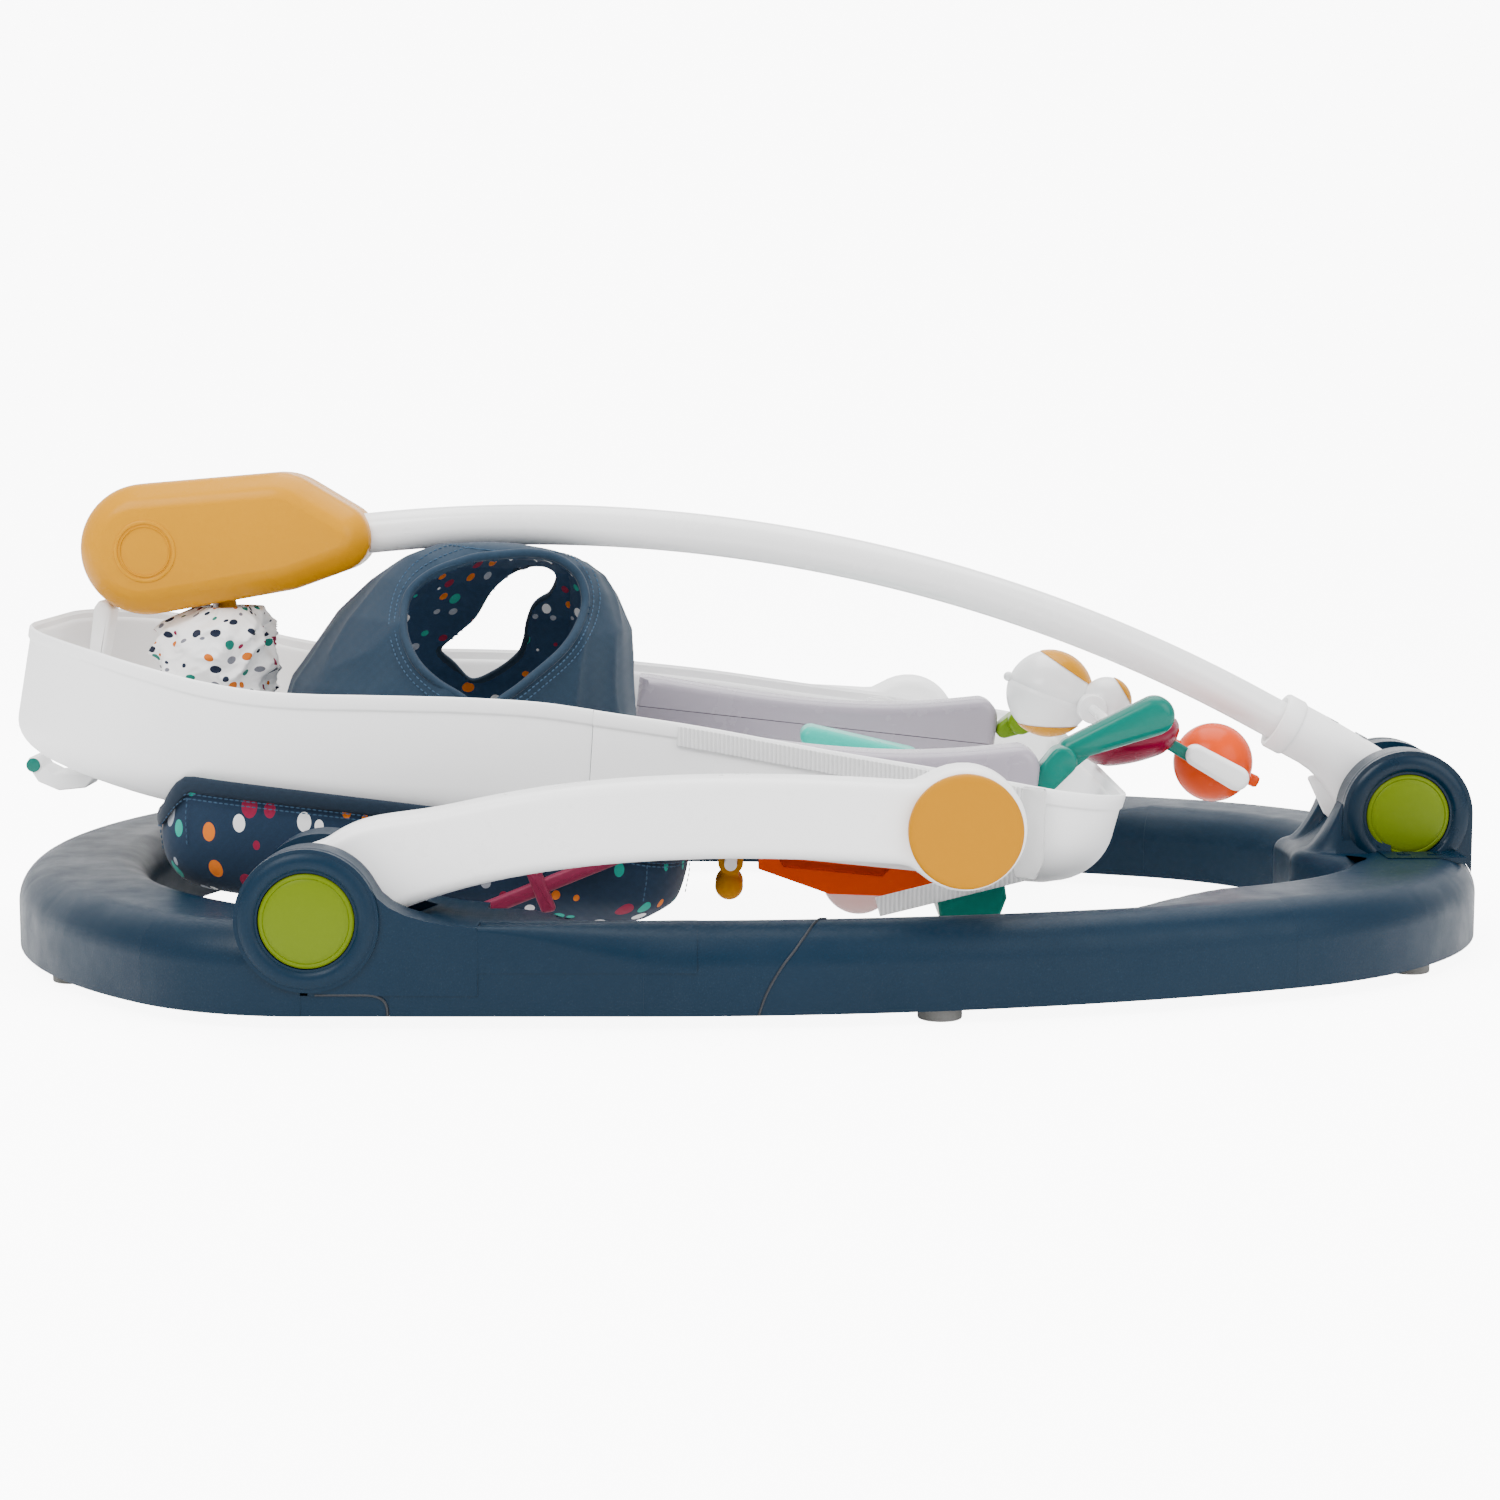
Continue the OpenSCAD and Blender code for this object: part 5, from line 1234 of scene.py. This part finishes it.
# Up the seat, as shares: its width and how far it has leaned
SLING_FORM = np.array([(0, 1), (.2, .985), (.43, .935), (.59, .855), (.71, .785), (.84, .66), (.92, .555),
                       (.97, .43), (1, .24)])
SLING_LEAN = np.array([(0, 0), (.43, .2), (.59, .42), (.84, .75), (1, 1)])
SLING_FOOT, SLING_TALL, SLING_WIDE, SLING_SHIFT = 3.0, 168.0, 123.5, 31.0
CROWN_RISE = 9.0
LEG_HOLES = {-1: [(29, 72), (12, 80), (-2, 87), (-15, 97), (-24, 110), (-28, 124), (-26, 138), (-12, 149),
                  (10, 157), (30, 160), (50, 161), (68, 158), (81, 150), (87, 138), (84, 124), (76, 110),
                  (62, 96), (46, 82)],
             1: [(0, 66), (-14, 78), (-24, 89), (-12, 103), (0, 115), (12, 136), (28, 151), (46, 158),
                 (57, 157), (62, 149), (57, 136), (46, 127), (41, 114), (39, 100), (34, 88), (18, 74)]}


def closed_line(points, n=6):
    """Closed curve through points."""
    p = list(points)
    return smooth_line(p[-2:] + p + p[:3], n)[2 * n:-2 * n - 1]


def sling_at(z):
    """Centre and radius of the fabric seat at a height."""
    a = np.clip((np.asarray(z, float) - SLING_FOOT) / (SLING_TALL - SLING_FOOT), 0, 1)
    return SLING_SHIFT * np.interp(a, *SLING_LEAN.T), SLING_WIDE * np.interp(a, *SLING_FORM.T)


def on_sling(outline, side, proud=0.0):
    """Side-view points laid on the fabric seat's surface, on its near or far side."""
    o = np.array(outline, float)
    o[:, 1] = np.minimum(o[:, 1], SLING_TALL - 6)
    c, wide = sling_at(o[:, 1])
    y = np.sqrt(np.maximum((wide + proud) ** 2 - (o[:, 0] - c) ** 2, 64))
    return np.stack([o[:, 0], side * y, o[:, 1]], 1)


def crowned(p):
    """The cloth's crown swells up on the near side of the arm tube, which lies along it."""
    p = np.array(p, float)
    p[:, 2] += CROWN_RISE * ease((p[:, 2] - 120) / 45) * np.exp(-((p[:, 1] + 46) / 26) ** 2)
    return p


def nearest_on(outline, points):
    """For points, the nearest place on a closed outline, and whether they lie inside it."""
    a, b = outline, np.roll(outline, -1, 0)
    ab = b - a
    t = ((points[:, None] - a) * ab).sum(2) / (ab ** 2).sum(1)
    on = a + np.clip(t, 0, 1)[..., None] * ab
    gap = np.linalg.norm(points[:, None] - on, axis=2)
    k = gap.argmin(1)
    x, z = points[:, :1], points[:, 1:]
    climb = np.where(ab[:, 1] == 0, 1e-9, ab[:, 1])
    meets = a[:, 0] + (z - a[:, 1]) / climb * ab[:, 0]
    crosses = ((a[:, 1] > z) != (b[:, 1] > z)) & (x < meets)
    rows = np.arange(len(points))
    return on[rows, k], crosses.sum(1) % 2 == 1


def waves(q, z, scale):
    """Soft noise round a ring of the cloth, at angles and a height."""
    return np.array([noise.noise(Vector((scale * math.cos(k), scale * math.sin(k), z))) for k in q])


def sling():
    """Fabric pouch on its lean, cut open for the legs, lined with the printed cloth."""
    rows, cols = 110, 300
    q = np.linspace(0, 2 * math.pi, cols, endpoint=False)
    heights = SLING_FOOT + (SLING_TALL - SLING_FOOT) * (1 - (1 - np.linspace(0, 1, rows + 1)) ** 1.5)
    rings = []
    for z in heights:
        c, wide = sling_at(z)
        soft = min(1, z / 40)
        ripple, fold = waves(q, z / 55, 2.2), 1 - np.abs(waves(q, z / 90 + 5, 3.0))
        r = wide + (2.2 * ripple + 2.4 * (fold ** 4 - 0.5)) * soft
        rings.append(np.stack([c + r * np.cos(q), r * np.sin(q), 0 * q + z], 1))
    crown = rings[rows] - (SLING_SHIFT, 0, SLING_TALL)
    for k in (0.82, 0.6, 0.35, 0.12):
        rings.append(crown * (k, k, 1) + (SLING_SHIFT, 0, SLING_TALL + 2.2 * (1 - k)))
    points = np.array(rings).reshape(-1, 3)
    layout = grid_layout(np.linspace(0, 2 * math.pi * 105, cols + 1), np.r_[heights * 1.15, 195, 203, 213, 222])
    faces = grid_faces(len(rings), cols)
    gone = np.zeros(len(points), bool)
    for side, outline in LEG_HOLES.items():
        here = np.flatnonzero((points[:, 1] * side > 5) & (points[:, 2] < SLING_TALL - 2))
        on, inside = nearest_on(closed_line(outline), points[here][:, (0, 2)])
        cut = here[inside]
        gone[cut] = True
        points[cut] += on_sling(on[inside], side) - on_sling(points[cut][:, (0, 2)], side)
    keep = [i for i, f in enumerate(faces) if not gone[list(f)].all()]
    faces, layout = [faces[i] for i in keep], [layout[i] for i in keep]
    faces.append(tuple(range(len(points) - cols, len(points))))
    used = np.unique(np.concatenate([np.array(f) for f in faces]))
    number = np.zeros(len(points), int)
    number[used] = np.arange(len(used))
    faces = [tuple(int(number[k]) for k in f) for f in faces]
    mesh = mesh_of("sling", [(crowned(points[used]), faces, 0, layout)])
    if sum(f.normal.z for f in mesh.polygons if f.center.z > 0.16) < 0:
        mesh.flip_normals()
    mesh.materials.append(navy_cloth)
    mesh.materials.append(lining_cloth)
    mesh = worked(mesh, ("SOLIDIFY", dict(thickness=4.2 * MM, offset=-1, material_offset=1, use_rim=True)))
    place_on(mesh, on_seat)
    cloths = [navy_cloth, lining_cloth]
    piece = show("seat_pouch", mesh, cloths, "tray", ["seat_sling"], sharp=75)
    edges, hems = [], []
    for side, outline in LEG_HOLES.items():
        edge = wound(closed_line(outline))
        edges.append(on_seat(crowned(on_sling(edge, side, -1.8))))
        for d, lift in ((9.0, 0.7), (5.2, 0.9)):
            hems.append(on_seat(crowned(on_sling(edge + outward(edge) * d, side, lift))))
    piped("leg_opening_piping", edges, "tray", navy_cloth, 3.0)
    stitched("leg_opening_stitches", hems, "tray", loop=True, pitch=3.6)


def place_on(mesh, place):
    """Moves a mesh from a piece's own frame to its place."""
    at = place(np.array([v.co for v in mesh.vertices]) / MM) * MM
    mesh.vertices.foreach_set("co", at.ravel())
    mesh.update()


def puffed(mesh, held, cap, pressure=4.0, frames=20):
    """Soft piece blown up by a short cloth run, its seams held and its travel capped."""
    mesh = worked(mesh, ("REMESH", dict(mode="VOXEL", voxel_size=5 * MM)))
    start = np.array([v.co for v in mesh.vertices])
    bench = bpy.data.objects.new("cloth_bench", mesh)
    bpy.context.scene.collection.objects.link(bench)
    seams = bench.vertex_groups.new(name="seams")
    for i, weight in enumerate(held(start / MM)):
        if weight > 0.01:
            seams.add([i], float(weight), "REPLACE")
    cloth_run = bench.modifiers.new("cloth_run", "CLOTH")
    rules = cloth_run.settings
    rules.quality, rules.mass = 6, 0.25
    rules.use_pressure, rules.uniform_pressure_force = True, pressure
    rules.vertex_group_mass = "seams"
    rules.effector_weights.gravity = 0.0
    rules.bending_stiffness = 0.6
    cloth_run.point_cache.frame_end = frames
    for f in range(1, frames + 1):
        bpy.context.scene.frame_set(f)
    end = np.array([v.co for v in evaluated(bench).vertices])
    bpy.data.objects.remove(bench)
    bpy.context.scene.frame_set(1)
    step = end - start
    far = np.maximum(np.linalg.norm(step, axis=1), 1e-9)
    step *= (np.minimum(far, cap * MM) / far)[:, None]
    mesh.vertices.foreach_set("co", (start + step).ravel())
    mesh.update()
    return mesh


COLLAR_BORE, COLLAR_LONG, COLLAR_WIDE, COLLAR_SQUARE = 124.0, 167.0, 186.0, 9
COLLAR_DEEP, LIP_RISE = 52.0, 27.0
TAB_ANGLES = np.radians([-142, -128, -96, -82, -52, -38, 38, 52, 82, 96, 128, 142])


def collar_rim(q):
    """Collar's outside round the seat's axis: its distance, the rise of its lip, its depth, its lower inset."""
    c, s = np.cos(q), np.sin(q)
    k = COLLAR_SQUARE
    ro = 1 / ((np.abs(c) / COLLAR_LONG) ** k + (np.abs(s) / COLLAR_WIDE) ** k) ** (1 / k)
    x, y = ro * c, ro * s
    lip = LIP_RISE - 0.055 * (x + 150)
    lip = lip * ease((x + 166) / 26) * ease((160 - x) / 90) * ease((np.abs(y) - 148) / 26)
    tuck = 22 + 34 * ease((x - 30) / 120) + 8 * ease((-x - 110) / 60)
    return ro, lip, COLLAR_DEEP + 5 * x / COLLAR_LONG, tuck


def collar_section(q, grow=0.0):
    """Points round the collar's section at given angles, as (distance, height) pairs."""
    ro, lip, low, tuck = collar_rim(q)
    flat = 0 * q
    bore = flat + COLLAR_BORE
    return [(bore, -low * 0.5), (bore, flat - 4), (bore + 6, flat), (bore + 20, flat), (ro - 16, flat - 1),
            (ro - 9, lip * 0.8 - 2), (ro - 5, lip - 1), (ro - 1 + grow, lip - 3), (ro + grow, lip * 0.7 - 10),
            (ro + grow, -low * 0.35), (ro - 4 + grow, -low * 0.66), (ro - tuck * 0.5 + grow * 0.5, -low * 0.9),
            (ro - tuck, -low), (bore + 14, -low), (bore + 3, -low * 0.86)]


def collar_line(q, station, proud):
    """Line on the collar's outside, part of the way down from its lip."""
    ro, lip, low, _ = collar_rim(q)
    z = lip - 3 - station * (low + lip)
    inset = np.interp(station, (0, 0.3, 0.75, 1), (1, 0, 4, 14))
    return np.stack([(ro + proud - inset) * np.cos(q), (ro + proud - inset) * np.sin(q), z], 1)


def collar():
    """Padded printed collar with a bound upper edge and stitched tabs."""
    q = np.linspace(0, 2 * math.pi, 320, endpoint=False)
    ring = np.array([[r * np.cos(q), r * np.sin(q), z] for r, z in collar_section(q, -1.5)]).transpose(2, 0, 1)
    mesh = mesh_of("collar", [loft(ring, loop=True)])

    def held(p):
        turn = np.arctan2(p[:, 1], p[:, 0])
        ro, lip, _, _ = collar_rim(turn)
        out = np.hypot(p[:, 0], p[:, 1])
        edge = ease((p[:, 2] - lip + 14) / 6) * (out > ro - 14)
        inner = out < COLLAR_BORE + 18
        tab = np.min(np.abs(turn[:, None] - TAB_ANGLES), axis=1) * out < 4
        return np.maximum(np.maximum(edge, inner), 0.9 * tab)

    mesh = puffed(mesh, held, 6.0)
    mesh = worked(mesh, ("SMOOTH", dict(factor=0.4, iterations=3)),
                  ("SUBSURF", dict(levels=1, render_levels=1)))
    lay_print(mesh)
    place_on(mesh, on_seat)
    piece = show("collar_pad", mesh, dotted_cloth, "tray", ["seat_collar"], sharp=180)
    up = on_seat((0, 0, 1)) - on_seat((0, 0, 0))
    band = sweep(on_seat(collar_line(q, 0.03, 0.8)), oval(1.9, 5.2, 14), up=up, loop=True)
    make("collar_binding", [band], binding_cloth, "tray", (), sharp=180)
    lines = [on_seat(collar_line(q, s, 1.3)) for s in (0.11, 0.15)]
    stitched("collar_stitches", lines, "tray", loop=True)
    down = np.linspace(0.16, 0.52, 14)
    tabs = [on_seat(np.vstack([collar_line(np.array([t]), k, 1.2) for k in down])) for t in TAB_ANGLES]
    stitched("collar_tab_stitches", tabs, "tray")


def lay_print(mesh):
    """Flat layout of the printed cloth over the collar: round it, and round its section."""
    p = np.array([v.co for v in mesh.vertices]) / MM
    turn = np.arctan2(p[:, 1], p[:, 0])
    ro, _, low, _ = collar_rim(turn)
    out = np.hypot(p[:, 0], p[:, 1])
    tilt = np.arctan2(p[:, 2] + low * 0.4, (out - (ro + COLLAR_BORE) / 2) * 1.6)
    uv = mesh.uv_layers.get("print") or mesh.uv_layers.new(name="print")
    for f in mesh.polygons:
        own = list(f.vertices)
        a, b = turn[own], tilt[own]
        a = a[0] + (a - a[0] + math.pi) % (2 * math.pi) - math.pi
        b = b[0] + (b - b[0] + math.pi) % (2 * math.pi) - math.pi
        for k, corner in enumerate(f.loop_indices):
            uv.data[corner].uv = (a[k] * 0.17, b[k] * 0.036)


def collar_trim():
    """Padded magenta bar on the collar's side, with a short cross piece and a wider end."""
    shapes = []
    for outline, y0, y1 in ((rounded([(-72, -4.6), (66, -4.6), (66, 4.6), (-72, 4.6)], 3), 0, 7),
                            (rounded([(6, -15), (15, -17), (15.5, 15), (6.5, 15)], 3), -1.6, 7),
                            (rounded([(-74, -8), (-50, -9), (-46, 0), (-50, 9), (-74, 8)], 4), -1.0, 7)):
        points, faces = slab(outline, y0, y1, 2.4)
        shapes.append((on_seat(turned(points, -26) + (68, -195, -31)), faces))
    make("collar_bar_padded", shapes, magenta_cloth, "tray", ["collar_bar"])


sling()
collar()
collar_trim()


# Toys and their rails, with their places in the tray's frame

RAIL_Y, RAIL_HALF, RAIL_PARTING, RAIL_GAP = 150, 18, 5.0, 0.5
FIGURE_AT, FIGURE_R, FIGURE_SMALL_AT, FIGURE_SMALL_R = (80, 60, 53), 30, (118, 44, 53), 17
DISC_AT, LINK_AT, BALL_AT, BALL_R, BALL_BAND_R = (118, -80, 43), (137, -76, 44), (181, -42, 28), 26, 27.5


def split_at(shape, height, upper):
    """The part of a shape above or below a height in the tray's frame, its cut closed."""
    mesh = mesh_of("half", [shape])
    bm = bmesh.new()
    bm.from_mesh(mesh)
    cut = bmesh.ops.bisect_plane(bm, geom=bm.verts[:] + bm.edges[:] + bm.faces[:], plane_co=(0, 0, height * MM),
                                 plane_no=(0, 0, 1), clear_inner=upper, clear_outer=not upper)
    bmesh.ops.holes_fill(bm, edges=[e for e in cut["geom_cut"] if isinstance(e, bmesh.types.BMEdge)])
    bm.to_mesh(mesh)
    bm.free()
    return shape_of(mesh)


def rails():
    """Grey rails in two halves, parted along a thin line."""
    top = smooth_line([(-207, 27), (-150, 23.5), (-90, 22), (-40, 24), (0, 29), (40, 37)], 5)
    nose = [(40 + 14 * math.cos(a), 23 + 14 * math.sin(a)) for a in np.radians(range(80, -1, -10))]
    line = np.array([(-207, -12), (-207, 26), *top[1:], *nose, (54, -2), (50, -9), (44, -12)])
    for side, s in SIDES:
        y = s * RAIL_Y
        body = slab(line, y - RAIL_HALF, y + RAIL_HALF, 7, 6)
        for half, upper, at in (("upper", True, RAIL_PARTING + RAIL_GAP / 2),
                                ("lower", False, RAIL_PARTING - RAIL_GAP / 2)):
            shapes = [placed(split_at(body, at, upper), in_tray)]
            if not upper:
                shapes += [placed(moved(lathe([(0, 0), (8, 0), (8, 38), (0, 38)], 32), (u, y, 3)), on_deck)
                           for u in (-150, -40)]
            node = f"rail_{side}_{half}"
            make(node + "_moulding", shapes, rail_grey, "tray", [node], sharp=50)


def holders():
    """Leaf-shaped toy holders on the rails' ends, and the rod that they carry."""
    teal = [leaf((58, 16), (68, 30), 8, 9, -160, -137), leaf((74, 36), (124, 63), 7.5, 12.5, -146, -126, 7),
            leaf((64, 22), (80, 38), 8, 8, -143, -131)]
    make("holder_teal_moulding", [placed(s, in_tray) for s in teal], toy_teal, "tray", ["holder_teal"])
    lime = [leaf((60, 16), (72, 24), 6, 9, 136, 158), leaf((70, 24), TOY_ROD, 9, 10, 124, 140.5),
            leaf((76, 30), (70, 52), 9, 5, 126, 137)]
    make("holder_lime_moulding", [placed(s, in_tray) for s in lime], toy_lime, "tray", ["holder_lime"])
    dress("toy_rod", toy_white, 0.5)


def figure():
    """White two-part figure on the rod, with plain yellow domes."""
    def part(shape, tilt, at=FIGURE_AT):
        return in_tray(turned(shape[0], tilt) + at), shape[1]

    body = [(FIGURE_R * math.sin(t), FIGURE_R * math.cos(t)) for t in np.radians(np.linspace(0, 180, 49))]
    body = [(r - (0.9 if abs(z) < 0.7 else 0), z) for r, z in body]
    white = [part(lathe(body, 72), 14), part(ball(FIGURE_SMALL_R, 56), 20, FIGURE_SMALL_AT),
             placed(bar(TOY_ROD, 10, 24, 96, 2), in_tray),
             part(moved(ball(3.4, 20), (-31.0, 0, 1.0)), 14)]
    yellow = [part(ball(FIGURE_R + 0.5, 64, (0, 47)), 28), part(ball(FIGURE_R + 0.6, 64, (0, 44)), 176),
              part(ball(FIGURE_SMALL_R + 0.5, 48, (0, 42)), 52, FIGURE_SMALL_AT)]
    make("figure_white", white, toy_white, "figure", ["toy_figure"])
    make("figure_yellow", yellow, housing_yellow, "figure", ["figure_cap"])


def disc_and_ball():
    """Dished disc that swings on its link and clip, and the spinner ball with a knob at each end."""
    disc = [(0, -15.5), (16, -15.5), (21, -14.6), (26, -12), (30, -8), (32.4, -4), (33, 0), (32.2, 3.4),
            (29.5, 6.0), (25.5, 7.3), (22, 7.5), (20.5, 7.0), (0, 6.8)]
    p, faces = lathe(disc, 72)
    make("disc_moulding", [(in_tray(turned(p, -20) + DISC_AT), faces)], toy_magenta, "disc",
         ["magenta_disc"])
    p, faces = slab(rounded([(-12, -4), (28, -4), (28, 4), (-12, 4)], 2), -4, 4, 1.6)
    make("disc_link_moulding", [(in_tray(turned(p, 24) + LINK_AT), faces)], toy_teal, "disc",
         ["disc_link"])
    x, y, z = BALL_AT
    clip = [leaf((163, 35), (191, 23), 7, 8, -84, -71.5, 3.5), bar((x, z), 4, LINK_AT[1], y)]
    make("link_clip_moulding", [placed(s, in_tray) for s in clip], toy_white, "disc", ["link_clip"])
    rows = [(BALL_R * math.sin(t), BALL_R * math.cos(t)) for t in np.radians(np.linspace(0, 180, 45))]
    rows = [(max(r, BALL_BAND_R) if abs(z) < 2 else r, z) for r, z in rows]
    knob = lathe([(0, -4), (4, -4), (5.6, -3), (6, 0), (5.6, 3), (4, 4), (0, 4)], 28)
    knobs = [moved(knob, (s * BALL_BAND_R, 0, 0)) for s in (-1, 1)]
    shapes = [(in_tray(turned(p, 18) + BALL_AT), f) for p, f in [lathe(rows, 72), *knobs]]
    make("spinner_ball_moulding", shapes, toy_orange, "ball", ["spinner_ball"])


def deck_toys():
    """Bar on its post between the rails, the pieces under the deck, and the storage strap with its buckle."""
    post = placed(moved(lathe([(0, 0), (8, 0), (8, 42), (0, 42)], 28), (-50, 0, 3)), on_deck)
    handle = placed(leaf((-84, 12), (-16, 4), 7, 7, -16, 16, 6), in_tray)
    make("crank_bar_moulding", [handle, post], toy_mint, "tray", ["crank_bar"])
    dress("console", toy_orange, 2.5, segments=3)
    dress("console_bracket", toy_teal, 2.5, segments=3)
    dress("rattle_dome", clear_plastic, 0.6)
    dress("bead_rod", toy_white, 0.6)
    dress("drop_beads", cap_yellow, 0.6)
    dress("storage_strap", ribbed_white, 0.5)
    dress("strap_buckle", clear_plastic, 1.4, segments=3)


def screws():
    """Cross-head screws on the bracket, the socket and under the rails."""
    k = math.radians(TUBE_SLOPE)
    for node, body, turn in (("bracket_screws", "base", (0, 0, 0)), ("socket_screws", "arm", (0, k, 0)),
                             ("rail_screws", "tray", (math.pi, -math.radians(TRAY_TILT - DECK_FALL), 0))):
        tip = np.array([(lo + hi) / 2 for lo, hi in islands(node)])
        reach = np.array([hi - lo for lo, hi in islands(node)])
        if node == "bracket_screws":
            tip[:, 2] = RING_TOP + 0.2
        elif node == "socket_screws":
            tip += np.array([math.sin(k), 0, math.cos(k)]) * (reach[:, 2:] / 2 / math.cos(k) * 0.2)
        else:
            tip[:, 2] += 1.6 - reach[:, 2] / 2
        guide = bpy.data.meshes.new("screw_places")
        guide.from_pydata([tuple(p) for p in tip * MM], [], [])
        mesh = grown(node, guide, SCREWS, {"Head": 4.5 * MM, "Rise": 2.5 * MM, "Turn": turn, "Material": steel})
        finish = bracket_navy if node == "bracket_screws" else steel
        show(node + "_heads", mesh, finish, body, [node], sharp=30)


rails()
holders()
figure()
disc_and_ball()
deck_toys()
screws()


# Studio

PAPER_GLOW, AIR_GLOW = (0.7, 8.0), (0.9, 9.0)


def studio():
    """Pale floor that runs up into a pale wall, and soft lights."""
    back, bend = 2.4, 1.6
    turn = np.linspace(0.1, math.pi / 2, 14)
    y = np.concatenate([np.linspace(-6, back, 12), back + bend * np.sin(turn), np.full(6, back + bend)])
    z = np.concatenate([np.zeros(12), bend - bend * np.cos(turn), np.linspace(2.0, 6, 6)])
    points = [(x, b, c) for b, c in zip(y, z) for x in (-7.0, 7.0)]
    faces = [(2 * i, 2 * i + 1, 2 * i + 3, 2 * i + 2) for i in range(len(y) - 1)]
    mesh = bpy.data.meshes.new("studio_sweep")
    mesh.from_pydata(points, [], faces)
    mesh.shade_smooth()
    f = Finish("studio_paper")
    f.colour(f.ramp(f.cloud(2.0), [(0.3, (0.86, 0.86, 0.86, 1)), (0.7, (0.88, 0.88, 0.88, 1))]))
    f.put(Roughness=0.9, Emission_Color=(1, 1, 1, 1))
    seen = f.node("ShaderNodeLightPath").outputs["Is Camera Ray"]
    f.link(f.between(seen, PAPER_GLOW[0], PAPER_GLOW[1]), f.shader.inputs["Emission Strength"])
    mesh.materials.append(f.material)
    floor = bpy.data.objects.new("studio_sweep", mesh)
    bpy.context.scene.collection.objects.link(floor)
    world = bpy.data.worlds.new("studio_air")
    world.use_nodes = True
    air = world.node_tree.nodes["Background"]
    air.inputs["Color"].default_value = (1, 1, 1, 1)
    seen = world.node_tree.nodes.new("ShaderNodeLightPath").outputs["Is Camera Ray"]
    glow = world.node_tree.nodes.new("ShaderNodeMapRange")
    glow.inputs["To Min"].default_value, glow.inputs["To Max"].default_value = AIR_GLOW
    world.node_tree.links.new(seen, glow.inputs["Value"])
    world.node_tree.links.new(glow.outputs["Result"], air.inputs["Strength"])
    bpy.context.scene.world = world
    for name, place, aim, size, power in (
            ("key", (-1.6, -1.8, 2.6), (0, 0, 0.1), 1.8, 115),
            ("fill", (2.2, -2.0, 1.6), (0.1, 0, 0.1), 2.2, 60),
            ("top", (0.2, 0.6, 3.0), (0, 0, 0), 2.6, 130)):
        data = bpy.data.lights.new(name, "AREA")
        data.size, data.energy = size, power
        lamp = bpy.data.objects.new(name, data)
        lamp.location = place
        lamp.rotation_euler = (Vector(aim) - Vector(place)).to_track_quat("-Z", "Y").to_euler()
        bpy.context.scene.collection.objects.link(lamp)


studio()
